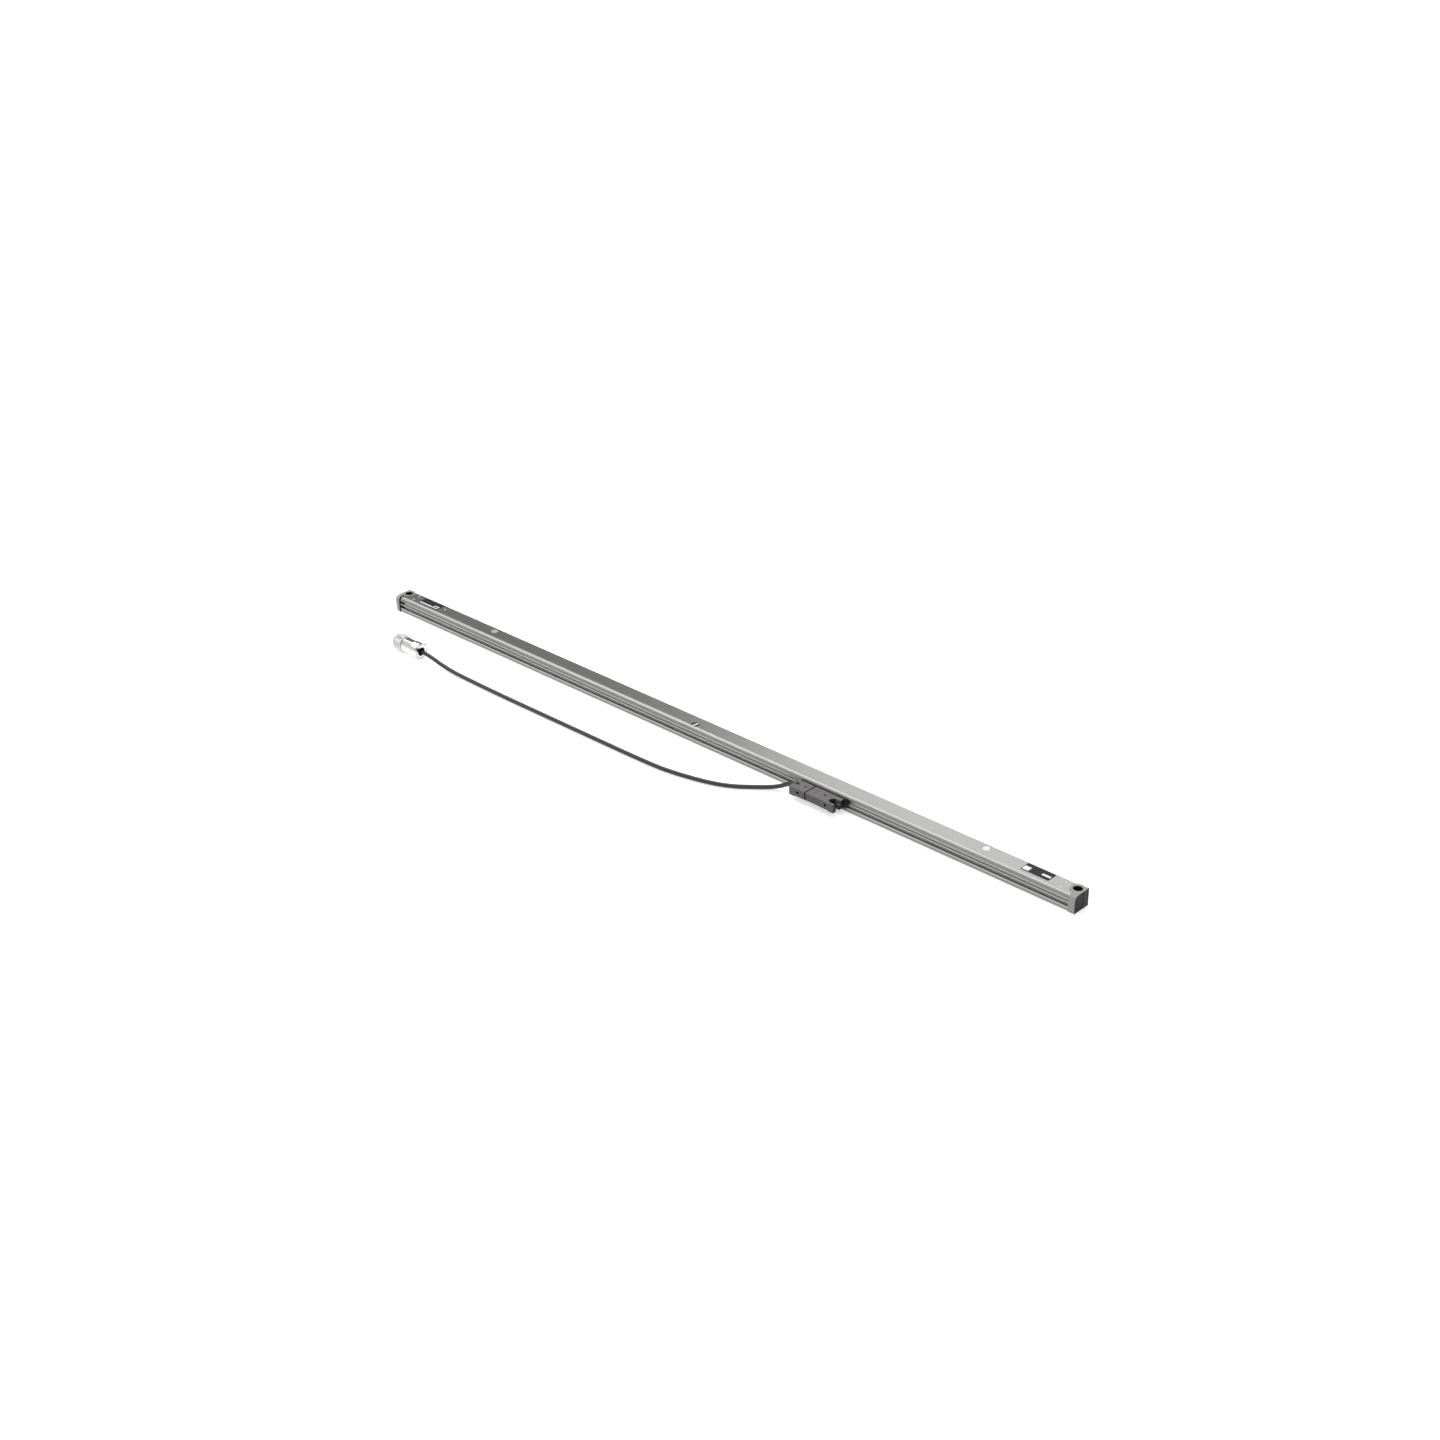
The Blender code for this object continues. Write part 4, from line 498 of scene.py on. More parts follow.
def cap_finish_and_shade():
    """Cast caps with painted shade on their end faces and in their grooves and eyes."""
    n = surface("cap_cast", (0.345, 0.345, 0.337), 0.50, 0.12, 2600, 0.05, 0.06, 0.2, 0.00003, level=0.22)
    inner = END - CAP_END_SHADE_DEPTH
    for side in SIDES.values():
        low, high = (inner, None) if side > 0 else (None, -inner)
        # painted shade on the end faces
        n.paint_light_and_shade([n.facing_mask("X", side), n.box_mask((low, None, None), (high, None, None))], CAP_END_PAINTED_SHADE)
        # painted shade in the grooves
        groove_low = (low, GROOVE_LOW[0] + 0.1, GROOVE_LOW[1] + 0.1)
        groove_high = (high, GROOVE_HIGH[0] - 0.1, GROOVE_HIGH[1] - 0.1)
        n.paint_light_and_shade([n.box_mask(groove_low, groove_high)], CAP_GROOVE_PAINTED_SHADE)
        # painted shade inside the eyes' bores
        eye = n.round_mask("Z", (side * EYE[0], EYE[1], 0), CAP_EYE_SHADE)
        n.paint_light_and_shade([eye, n.box_mask(high=(None, None, CAP_H - 0.7))], CAP_EYE_PAINTED_SHADE)
    return n.material


def head_finish_and_shade():
    """Cast head with painted shade on its front and right end and in its holes."""
    n = surface("head_cast", (0.158, 0.151, 0.151), 0.55, 0.10, 2100, 0.16, 0.07, 0.55, 0.00008, level=0.35)
    # painted shade on the faces that look to the front
    n.paint_light_and_shade([n.facing_mask("Y", -1)], HEAD_FRONT_SHADE_SHARE)
    right_end = HEAD_X + HEAD_HALF
    # painted shade on the right end face
    n.paint_light_and_shade([n.facing_mask("X", 1), n.box_mask((right_end - 0.8, None, None))], HEAD_PAINTED_SHADE)
    below_top = n.box_mask(high=(None, None, HEAD_Z1 - 0.3))
    behind_front = n.box_mask((None, HEAD_F + 0.15, None))

    def sunk(axis, centre, radius, limit):
        return n.combine("MULTIPLY", [n.round_mask(axis, centre, radius), limit])

    # painted shade in the slot under the counterbore, the counterbore's inner part, the small holes and the
    # cable's slot
    x, y = HEAD_X + SCREW_SLOT[0], SCREW_SLOT[1]
    hollow_shade = [n.box_mask((x - 3.0, y - 2.9, 5.0), (None, y + 2.9, COUNTERBORE_FLOOR - 0.1))]
    hollow_shade.append(sunk("Z", (x - 1.6, y, 0), COUNTERBORE_RADIUS - 0.1, below_top))
    for x in SET_SCREWS.values():
        hollow_shade.append(sunk("Z", (HEAD_X + x, SET_SCREW_Y, 0), 1.55, below_top))
    for x in FRONT_HOLES.values():
        hollow_shade.append(sunk("Y", (HEAD_X + x, 0, FRONT_HOLE_Z), 1.95, behind_front))
    x, y = HEAD_X + CABLE_ENTRY[0], CABLE_ENTRY[1]
    hollow_shade.append(n.box_mask((x - 3.8, y - 2.7, CABLE_SLOT_FLOOR - 0.5), (x + 3.1, y + 2.7, HEAD_Z1 - 0.3)))
    n.paint_light_and_shade([n.combine("MAXIMUM", hollow_shade)], HEAD_PAINTED_SHADE)
    return n.material


def housing_finish_light_and_shade():
    """Drawn aluminium with painted light on the low front and painted shade under the shoulder."""
    n = surface("alu_extruded", (0.31, 0.31, 0.303), 0.33, 0.88, (45, 5200, 5200), 0.07, 0.07, 0.10, 0.00002)
    # painted light on the low front faces, painted shade under the shoulder
    for low, high, share in HOUSING_LIGHT_AND_SHADE_BANDS:
        n.paint_light_and_shade([n.facing_mask("Y", -1), n.box_mask((None, None, low), (None, None, high))], share)
    return n.material


# Each finish: colour, roughness, metallic, scale of its grain (one number, or three along X, Y
# and Z), spread of its colour and of its roughness, strength and height of its relief
EXTRUDED = housing_finish_light_and_shade()
CAST = cap_finish_and_shade()
HEAD_CAST = head_finish_and_shade()
HEAD_PLATE = plain("head_plate", (0.07, 0.07, 0.065), 0.42, 0.3, 2600, 0.15, 0.06, 0.2, 0.00003)
NECK_BLACK = plain("neck_black", (0.017, 0.017, 0.017), 0.50, 0.2, 2200, 0.25, 0.08, 0.3, 0.00004)
MOULDED = plain("moulded_dark", (0.05, 0.055, 0.06), 0.48, 0.0, 1600, 0.12, 0.06, 0.15, 0.00003)
RUBBER = plain("rubber_black", (0.010, 0.010, 0.0105), 0.65, 0.0, 1500, 0.25, 0.08, 0.2, 0.00003, level=0.15)
LIP = plain("rubber_lip", (0.42, 0.42, 0.41), 0.50, 0.0, (60, 3000, 3000), 0.2, 0.08, 0.15, 0.00003)
FILM = plain("label_black", (0.016, 0.019, 0.023), 0.55, 0.0, 1800, 0.2, 0.05, 0.05, 0.00001, level=0.2)
PAPER = plain("label_white", (0.86, 0.86, 0.85), 0.45, 0.0, 2500, 0.02, 0.05, 0.05, 0.00001)
PLUG_GREY = plain("plug_grey", (0.40, 0.40, 0.385), 0.55, 0.0, 2000, 0.05, 0.06, 0.1, 0.00002)
PLUG_WHITE = plain("plug_white", (0.84, 0.85, 0.84), 0.50, 0.0, 2000, 0.02, 0.06, 0.08, 0.00002)
ZINC = plain("zinc_bright", (0.62, 0.62, 0.60), 0.45, 0.8, 3000, 0.06, 0.08, 0.1, 0.00001)
BLACKENED = plain("steel_blackened", (0.012, 0.012, 0.0115), 0.55, 0.0, 2600, 0.2, 0.08, 0.15, 0.00002,
                  level=0.12)
# near-white floor of the slotted screw's slot: a painted glint of its machined metal
SLOT_PAINTED_GLINT = plain("slot_bright", (0.95, 0.95, 0.93), 0.35, 0.1, 3000, 0.04, 0.06, 0.1, 0.00001)
GROUND = plain("steel_ground", (0.45, 0.45, 0.45), 0.30, 1.0, (60, 4000, 4000), 0.08, 0.06, 0.12, 0.00001)
SPRING = plain("spring_steel", (0.55, 0.54, 0.50), 0.24, 1.0, (100, 3500, 3500), 0.08, 0.05, 0.1, 0.00001)
MAGNET = plain("magnet_strip", (0.035, 0.030, 0.028), 0.55, 0.1, 1800, 0.2, 0.06, 0.15, 0.00002)
BOARD = plain("board_green", (0.012, 0.12, 0.05), 0.35, 0.0, 2200, 0.15, 0.05, 0.1, 0.00002)
CHIP = plain("chip_black", (0.016, 0.016, 0.017), 0.45, 0.0, 3000, 0.2, 0.05, 0.1, 0.00001)
JACKET = plain("cable_jacket", (0.010, 0.010, 0.013), 0.24, 0.0, 700, 0.15, 0.05, 0.12, 0.00004, level=0.6)
NICKEL = plain("nickel_bright", (0.71, 0.71, 0.695), 0.17, 1.0, (4200, 90, 90), 0.04, 0.05, 0.05, 0.000006)
RING_NICKEL = plain("nickel_satin", (0.57, 0.57, 0.56), 0.34, 0.9, (4200, 90, 90), 0.05, 0.05, 0.08, 0.00001)
INSULATOR = plain("insulator", (0.024, 0.024, 0.026), 0.50, 0.0, 1500, 0.15, 0.06, 0.1, 0.00002)
GOLD = plain("contact_gold", (0.80, 0.56, 0.20), 0.25, 1.0, 2500, 0.05, 0.05, 0.05, 0.00001)


def dress(material, *nodes):
    """Gives CAD nodes whose shape is right their material."""
    for node in nodes:
        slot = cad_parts[node].material_slots[0]
        slot.link = "OBJECT"
        slot.material = material


# The cable and its connector

CABLE_RADIUS = 2.45
# The cable's middle line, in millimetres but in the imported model's frame, from the head onwards
CABLE_ROUTE = (
    (165.2, -12.5, 12.9), (159.5, -12.5, 12.9), (154.0, -12.5, 12.5), (148.5, -13.2, 10.3),
    (143.0, -14.8, 7.2), (136.8, -17.4, 4.7), (129.0, -22.0, 3.0), (116.0, -32.6, 2.6),
    (102.0, -43.6, 2.6), (86.4, -52.2, 2.6), (68.6, -58.6, 2.6), (49.2, -63.5, 2.6),
    (29.0, -67.4, 2.6), (6.0, -70.0, 2.6), (-42.0, -71.2, 2.6), (-118.0, -71.6, 2.6),
    (-197.0, -72.0, 2.6), (-252.0, -72.0, 2.6), (-305.0, -71.1, 2.6), (-332.0, -70.6, 3.3),
    (-350.0, -70.5, 5.5), (-364.0, -70.5, 8.2), (-376.0, -70.5, 10.1), (-385.6, -70.5, 10.7),
)
CABLE_POINTS = 190
STEPS_BETWEEN = 24


def cable_points():
    """Evenly spaced points, in metres, on a smooth curve through the cable's route."""
    route = [Vector(point) * MM for point in CABLE_ROUTE]
    axis = Vector((1, 0, 0))
    first = route[0] + axis * (route[1] - route[0]).length
    last = route[-1] - axis * (route[-2] - route[-1]).length
    points = [first] + route + [last]
    dense = []
    for a, b, c, d in zip(points, points[1:], points[2:], points[3:]):
        for t in np.linspace(0, 1, STEPS_BETWEEN, endpoint=False):
            dense.append(0.5 * (2 * b + (c - a) * t + (2 * a - 5 * b + 4 * c - d) * t**2
                                + (3 * b - a - 3 * c + d) * t**3))
    dense.append(route[-1])
    walked = np.concatenate(([0], np.cumsum([(b - a).length for a, b in zip(dense, dense[1:])])))
    targets = np.linspace(0, walked[-1], CABLE_POINTS)
    columns = [np.interp(targets, walked, [p[i] for p in dense]) for i in range(3)]
    return list(zip(*columns)), float(walked[-1])


# Profiles of the connector's turned pieces: place along X from CONN, and radius
NUT_PROFILE = (
    (-3.4, 4.75), (-1.3, 4.75), (-0.5, 5.3), (-0.4, 5.6), (-0.4, 7.4), (-0.9, 7.5), (-0.9, 7.85),
    (-0.4, 7.95), (-0.4, 9.2), (-0.6, 9.6), (-1.3, 10.35), (-1.9, 10.53), (-3.3, 10.55),
    (-10.1, 10.55), (-10.5, 10.55), (-10.9, 10.45), (-11.3, 10.1), (-11.4, 9.8), (-11.4, 4.75),
)
BARREL_PROFILE = (
    (-11.7, 0), (-11.7, 8.8), (-11.8, 9.0), (-12.4, 9.38), (-12.8, 9.4), (-13.1, 9.4), (-19.3, 9.4),
    (-19.5, 9.25), (-19.9, 9.25), (-20.1, 9.4), (-26.8, 9.4), (-27.2, 9.4), (-27.6, 9.38),
    (-28.1, 9.0), (-28.2, 8.8), (-28.2, 7.6), (-41.5, 7.6), (-41.9, 7.2), (-41.9, 6.8),
    (-41.6, 6.6), (-26.1, 6.6), (-26.1, 0),
)
RING_FRONT = (
    (-44.1, 8.1), (-44.1, 8.7), (-43.9, 9.1), (-43.4, 9.5), (-42.6, 9.62), (-41.8, 9.62), (-41.6, 9.5),
)
RING_REAR = ((-29.6, 9.5), (-29.3, 9.5), (-29.1, 9.7), (-28.7, 9.7), (-28.5, 9.5), (-28.5, 8.1))
NUT_FLATS = flats(6, 10.1)
BARREL_FLATS = flats(8, 8.98, -26.9, -13.0)
KNURL_LOW, KNURL_HIGH = -41.4, -29.8
KNURL_RADIUS = 9.9
KNURL_DEPTH = 0.34
KNURL_TEETH = 36
CONTACTS = 8
CONTACT_CIRCLE = 4.2
# Contact holes and the sleeves in them: low and high along X from CONN, and radii
HOLE_X = (-35.0, -30.4)
HOLE_RADIUS = 0.62
SLEEVE_X = (-34.1, -30.6)
SLEEVE_BORE, SLEEVE_RADIUS = 0.36, 0.58
CLAMP_FINGERS = 8
# One finger of the clamp: angle as a share of half its sector, and radius
FINGER = ((-0.62, 3.0), (-0.34, 4.25), (-0.2, 4.42), (0.2, 4.42), (0.34, 4.25), (0.62, 3.0))


def knurl(angle, place, radius):
    """Wave that cuts rounded teeth into the coupling ring's grip."""
    if radius < KNURL_RADIUS - 0.2 or not KNURL_LOW <= place <= KNURL_HIGH:
        return radius
    return radius - KNURL_DEPTH * (0.5 - 0.5 * math.cos(angle * KNURL_TEETH))


def tube(x, bore, radius):
    """A short round tube, or a rod where its bore is 0."""
    return lathe(((x[0], bore), (x[0], radius), (x[1], radius), (x[1], bore)), "X", 20)


def build_connector():
    """Rear nut, barrel, coupling ring, insert with its contacts, and clamp."""
    pieces = []
    nut = moved(lathe(NUT_PROFILE, "X", 96, NUT_FLATS), CONN)
    pieces.append(piece("rear_nut", nut, NICKEL, "slider", ("connector_nut",), 30))
    barrel = moved(lathe(BARREL_PROFILE, "X", 96, BARREL_FLATS), CONN)
    pieces.append(piece("connector_shell", barrel, NICKEL, "slider",
                        ("connector_barrel",), 30))
    grip = tuple((x, KNURL_RADIUS) for x in np.linspace(KNURL_LOW, KNURL_HIGH, 6))
    ring = lathe(RING_FRONT + grip + RING_REAR, "X", 6 * KNURL_TEETH, knurl)
    pieces.append(piece("knurled_ring", moved(ring, CONN), RING_NICKEL, "coupling_ring",
                        ("coupling_ring",), 30))

    insert = lathe(((-26.4, 0), (-26.4, 6.3), (-34.2, 6.3), (-34.4, 6.1), (-34.4, 0)), "X", 64)
    cuts = []
    sleeves = []
    for i in range(CONTACTS):
        angle = 2 * math.pi * i / CONTACTS
        place = (0, CONTACT_CIRCLE * math.cos(angle), CONTACT_CIRCLE * math.sin(angle))
        cuts.append(moved(tube(HOLE_X, 0, HOLE_RADIUS), place))
        sleeves.append(moved(tube(SLEEVE_X, SLEEVE_BORE, SLEEVE_RADIUS), place))
    cuts.append(box((HOLE_X[0], -0.8, 5.5), (HOLE_X[1], 0.8, 7.3)))
    pieces.append(piece("contact_insert", moved(carve(insert, cuts, edge=0.08), CONN), INSULATOR,
                        "slider", ("connector_insert",)))
    pieces.append(piece("contact_sleeves", moved(joined(sleeves), CONN), GOLD, "slider"))

    outline = []
    for i in range(CLAMP_FINGERS):
        for offset, radius in FINGER:
            angle = 2 * math.pi * (i + offset / 2) / CLAMP_FINGERS
            outline.append((radius * math.cos(angle), radius * math.sin(angle)))
    taper = lathe(((-6.0, 0), (-6.0, 6.0), (-1.6, 4.6), (0.1, 2.75), (0.1, 0)), "X", 48)
    clamp = moved(carve(prism(outline, -4.6, -0.1, "X"), keeps=[taper]), CONN)
    pieces.append(piece("clamp_fingers", clamp, RUBBER, "slider", ("cable_clamp",)))
    return pieces


def build_cable(with_pieces):
    """The signal cable as a round tube on its smooth route."""
    points, length = cable_points()
    curve = bpy.data.curves.new("cable_tube", "CURVE")
    curve.dimensions = "3D"
    curve.bevel_depth = CABLE_RADIUS * MM
    curve.bevel_resolution = 6
    curve.use_fill_caps = True
    spline = curve.splines.new("POLY")
    spline.points.add(len(points) - 1)
    for target, point in zip(spline.points, points):
        target.co = (*point, 1)
    spline.use_smooth = True
    curve.materials.append(JACKET)
    obj = bpy.data.objects.new("cable_tube", curve)
    bpy.context.scene.collection.objects.link(obj)
    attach(obj, "slider")
    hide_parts("signal_cable")


# The housing


def section():
    """Outline of the extrusion in Y and Z with its small edge radii."""
    points = [(FRONT, LOW, 0.5), (BACK, LOW, 0.8), (BACK, TOP, 0.3)]
    radii = (SHOULDER[0] - FRONT, TOP - SHOULDER[1])
    points += [(a, b, 0) for a, b in arc(SHOULDER, radii, 90, 180, 22)]
    # cove and ridge, upper lip groove, main cavity, lower lip groove, line along the lower front
    points += [(FRONT, 14.9, 0.12), (2.0, 14.35, 0.5), (2.0, 11.2, 0.45), (FRONT, 11.2, 0.35)]
    points += [(FRONT, 9.8, 0.35), (2.9, 9.8, 0.15), (2.9, 11.2, 0), (4.1, 11.2, 0), (4.1, 9.8, 0)]
    points += [(4.6, 9.8, 0), (4.6, 16.9, 0.3), (12.6, 16.9, 0.3), (12.6, 2.6, 0.3), (4.6, 2.6, 0.3)]
    points += [(4.6, 5.6, 0), (4.1, 5.6, 0), (4.1, 4.2, 0), (2.9, 4.2, 0), (2.9, 5.6, 0.15)]
    points += [(FRONT, 5.6, 0.35), (FRONT, 3.2, 0.12), (0.8, 3.2, 0.1), (0.8, 2.5, 0.1)]
    points += [(FRONT, 2.5, 0.12)]
    return rounded(points)


def countersink(head, shank, depth, flare=0.25):
    """Cutter for a countersunk hole in the top face, with a fine edge break."""
    return lathe(((TOP - depth, 0), (TOP - depth, shank), (TOP - 1.3, shank), (TOP - 0.3, head),
                  (TOP - 0.08, head), (TOP + flare, head + flare + 0.08), (TOP + 1, head + flare + 0.08),
                  (TOP + 1, 0)), "Z", 40)


def seat(radius, depth, bore, bore_depth):
    """Cutter for a stepped round seat in the top face, with a fine edge break."""
    return lathe(((TOP - bore_depth, 0), (TOP - bore_depth, bore), (TOP - depth, bore), (TOP - depth, radius),
                  (TOP - 0.12, radius), (TOP + 0.13, radius + 0.25), (TOP + 1, radius + 0.25), (TOP + 1, 0)),
                 "Z", 56)


HOUSING_WALLS = ("housing_roof", "housing_rail", "housing_sill", "housing_floor", "housing_web",
                 "housing_back")
CAP_SCREW_X = 492.0
CAP_SCREW_ROWS = {"front": 9.0, "rear": 18.7}
CAP_SCREWS = {(name, row): (side * CAP_SCREW_X, y)
              for name, side in SIDES.items() for row, y in CAP_SCREW_ROWS.items()}
PLUGS = {"left": -349.0, "right": 395.0}
PLUG_Y = 15.7
MID = (-6.0, 8.3)
TOP_SCREW = (-440.0, 15.4)
REAR_CHAMBER = ((14.6, 2.4), (21.1, 17.4))


def eye_room(side, count):
    """Cutter that clears a mounting eye."""
    return prism(circle((side * EYE[0], EYE[1]), EYE_ROOM, count), -1, 21, "Z")


def build_housing():
    body = prism(section(), -BODY_END, BODY_END, "X")
    cuts = [prism(rectangle(*REAR_CHAMBER, 0.5), -BODY_END - 1, BODY_END + 1, "X")]
    for side in SIDES.values():
        cuts.append(eye_room(side, 64))
    for x, y in CAP_SCREWS.values():
        cuts.append(moved(countersink(head=1.85, shank=1.2, depth=7.0), (x, y, 0)))
    cuts.append(moved(countersink(head=1.85, shank=1.2, depth=1.9), (*TOP_SCREW, 0)))
    for x in PLUGS.values():
        cuts.append(moved(seat(radius=4.6, depth=1.2, bore=2.9, bore_depth=2.6), (x, PLUG_Y, 0)))
    cuts.append(moved(seat(radius=4.7, depth=1.6, bore=1.8, bore_depth=3.2), (*MID, 0)))
    piece("housing_shell", carve(body, cuts), EXTRUDED, "housing",
          HOUSING_WALLS, 28)


def end_outline(inset, steps=14):
    """Outline of a cap in Y and Z, drawn in by inset."""
    low, high, back = inset, CAP_H - inset, CAP_D - inset
    points = [(low, low, 0.7), (back, low, 0.8), (back, high, 0.8)]
    radii = (SHOULDER[0] - inset, high - SHOULDER[1])
    points += [(a, b, 0) for a, b in arc(SHOULDER, radii, 90, 180, steps)]
    return rounded(points)


def span(side, one, two):
    """Low and high end of a stretch along X on one side."""
    ends = (side * one, side * two)
    return min(ends), max(ends)


# Tongues of a cap that reach into the cavity and the rear chamber, in Y and Z
TONGUES = (((4.9, 2.9), (12.3, 16.6)), ((14.9, 2.7), (20.8, 17.1)))
TONGUE_END = 487.0
# The right cap's rim covers its gasket; the left cap's end steps back below this height
RIM = 2.0
RIM_WALL = 1.0
STEP_Z = 7.2
STEP_DEPTH = 1.1
GROOVE_DEPTH = 1.5


def build_caps():
    for name, side in SIDES.items():
        has_rim = side > 0
        rim = RIM if has_rim else 0.0
        cap = prism(end_outline(0.0), *span(side, PLATE - rim, END), "X")
        if has_rim:
            cap = carve(cap, [prism(end_outline(RIM_WALL), *span(side, PLATE - rim - 1, PLATE), "X")])
        adds = [prism(circle((side * EYE[0], EYE[1]), EYE_RADIUS, 72), 0, CAP_H, "Z")]
        x = span(side, TONGUE_END, PLATE + 2)
        for low, high in TONGUES:
            adds.append(box((x[0], *low), (x[1], *high)))
        bore = lathe(((-1, 0), (-1, 3.25), (0.25, 2.95), (0.45, 2.75), (9.0, 2.75), (9.0, 5.0), (19.6, 5.0),
                      (20.0, 5.35), (20.4, 5.7), (21, 5.7), (21, 0)), "Z", 64)
        cuts = [moved(bore, (side * EYE[0], EYE[1], 0))]
        x = span(side, END - GROOVE_DEPTH, END + 1)
        cuts.append(box((x[0], *GROOVE_LOW), (x[1], *GROOVE_HIGH)))
        if not has_rim:
            x = span(side, END - STEP_DEPTH, END + 1)
            cuts.append(box((x[0], -1, -1), (x[1], CAP_D + 1, STEP_Z)))
        for y in CAP_SCREW_ROWS.values():
            hole = lathe(((12, 0), (12, 1.2), (20.5, 1.2), (20.5, 0)), "Z", 24)
            cuts.append(moved(hole, (side * CAP_SCREW_X, y, 0)))
        body = carve(cap, cuts, adds, edge=0.22, angle=40)
        piece(f"cap_casting_{name}", body, CAST, "housing", (f"end_cap_{name}",), 30)


# Rubber tabs of the left gasket beside its cap, which also stand in for the shade at the ends of the slot and
# the cove: low and high in Z, and how far back they reach
GASKET_SHADE_TABS = ((5.7, 9.7, 1.2), (11.35, 14.25, 1.95))
GASKET_INSET = {"left": 0.0, "right": 1.3}
GASKET_X = (BODY_END + 0.2, BODY_END + 2.2)


def build_gaskets():
    for name, side in SIDES.items():
        x = span(side, *GASKET_X)
        gasket = prism(end_outline(GASKET_INSET[name]), *x, "X")
        adds = []
        if name == "left":
            # rubber tabs that also stand in for the shade at the ends of the slot and the cove
            for low, high, back in GASKET_SHADE_TABS:
                adds.append(box((x[1] - 0.5, 0.42, low), (x[1] + 5.0, back, high)))
        cuts = [eye_room(side, 48), box((x[0] - 1, 4.6, 2.6), (x[1] + 1, 25, 16.9))]
        gasket = carve(gasket, cuts, adds, edge=0.25, segments=3)
        piece(f"gasket_rubber_{name}", gasket, RUBBER, "housing",
              (f"end_gasket_{name}",), 30)


LIP_END = 507.2
# Middle of the slot's closed line, and half of the gap that the lips leave there
SLOT_Z = 7.7
LIP_GAP = 0.62


def build_lips():
    """Two curved rubber lips that close the slot to a narrow line."""
    for name, sign, edge, front in (("upper", 1, 9.8, 1.3), ("lower", -1, 5.6, 2.3)):
        tip = SLOT_Z + sign * LIP_GAP

        def z(offset):
            return edge + sign * offset

        outline = [(3.2, z(1.1), 0.1), (3.2, z(-0.1), 0.1), (front + 0.5, z(-0.15), 0.3),
                   (front, z(-0.6), 0.3), (front + 0.05, tip + sign * 0.1, 0.08),
                   (front + 0.35, tip, 0.05), (3.0, z(-0.6), 0.3), (3.8, z(-0.2), 0.2), (3.8, z(1.1), 0.1)]
        lip = prism(rounded(outline), -LIP_END, LIP_END, "X")
        piece(f"lip_{name}", lip, LIP, "housing", (f"lip_seal_{name}",), 40)


def star_recess(radius, low, high, lobes=6):
    """Cutter for a screw's driver recess with round lobes."""
    outline = []
    for i in range(8 * lobes):
        angle = 2 * math.pi * i / (8 * lobes)
        r = radius * (0.87 + 0.13 * math.cos(lobes * angle))
        outline.append((r * math.cos(angle), r * math.sin(angle)))
    return prism(outline, low, high, "Z")


# The slotted screw's top lies below the housing's, and its slot points this many degrees off Y
SLOTTED_TOP = TOP - 0.2
SLOT_TURN = -13


def build_screws():
    """Small countersunk screws, plugs and the slotted screw in the top face."""
    head = ((TOP - 1.6, 0), (TOP - 1.6, 0.9), (TOP - 1.0, 0.9), (TOP - 0.25, 1.62), (TOP - 0.08, 1.7),
            (TOP - 0.02, 1.62), (TOP, 1.4), (TOP, 0))
    places = {f"cap_screw_{name}_{row}": place for (name, row), place in CAP_SCREWS.items()}
    places["top_screw"] = TOP_SCREW
    for node, place in places.items():
        mesh = carve(lathe(head, "Z", 40), [star_recess(0.78, TOP - 0.7, TOP + 1)])
        piece(f"head_of_{node}", moved(mesh, (*place, 0)), ZINC, "housing", (node,))
    for name, material, slot in (("left", PLUG_GREY, "grey_plug"), ("right", PLUG_WHITE, "white_plug")):
        disc = lathe(((TOP - 1.5, 0), (TOP - 1.5, 2.3), (TOP - 1.2, 2.6), (TOP - 0.9, 2.6), (TOP - 0.9, 4.2),
                      (TOP - 0.75, 4.35), (TOP - 0.15, 4.35), (TOP, 4.18), (TOP, 3.7), (TOP - 0.06, 3.6),
                      (TOP - 0.06, 0.35), (TOP - 0.15, 0.2), (TOP - 0.15, 0)), "Z", 64)
        piece(f"plug_{name}", moved(disc, (PLUGS[name], PLUG_Y, 0)), material, "housing",
              (f"hole_plug_{name}",), 30)
    top = SLOTTED_TOP
    screw = lathe(((top - 2.0, 0), (top - 2.0, 1.5), (top - 1.1, 1.5), (top - 1.1, 4.3), (top - 1.0, 4.4),
                   (top - 0.3, 4.4), (top - 0.05, 4.2), (top, 3.9), (top, 0)), "Z", 64)
    slot = turned(box((-1.15, -6, top - 0.6), (1.15, 6, top + 1)), SLOT_TURN)
    piece("slotted_screw", moved(carve(screw, [slot], edge=0.08), (*MID, 0)), BLACKENED,
          "housing", ("mid_screw",))
    # the slot's floor, near-white as a painted glint
    floor = turned(box((-1.1, -4.1, top - 0.61), (1.1, 4.1, top - 0.1)), SLOT_TURN)
    piece("screw_slot_floor", moved(floor, (*MID, 0)), SLOT_PAINTED_GLINT, "housing")


# Labels: middle in X, and the plain fields as low X, low Y, high X, high Y from the middle
LABELS = {
    "left": {"x": -464.2, "square": (8.0, -6.2, 15.6, -0.4), "bar": (-15.6, -6.3, 7.0, -4.2)},
    "right": {"x": 460.7, "square": (-16.2, -5.9, -8.4, 1.2), "bar": (5.6, -2.9, 16.0, 0.4)},
}
LABEL_Y = 14.7
LABEL_HALF = (17, 6.8)
SQUARE_FRAME = 1.5
# Films and their fields, low and high in Z, and the fields' corners
FILM_Z = (TOP + 0.05, TOP + 0.35)
FIELD_Z = (TOP + 0.352, TOP + 0.375)
FIELD_CORNER = 0.25


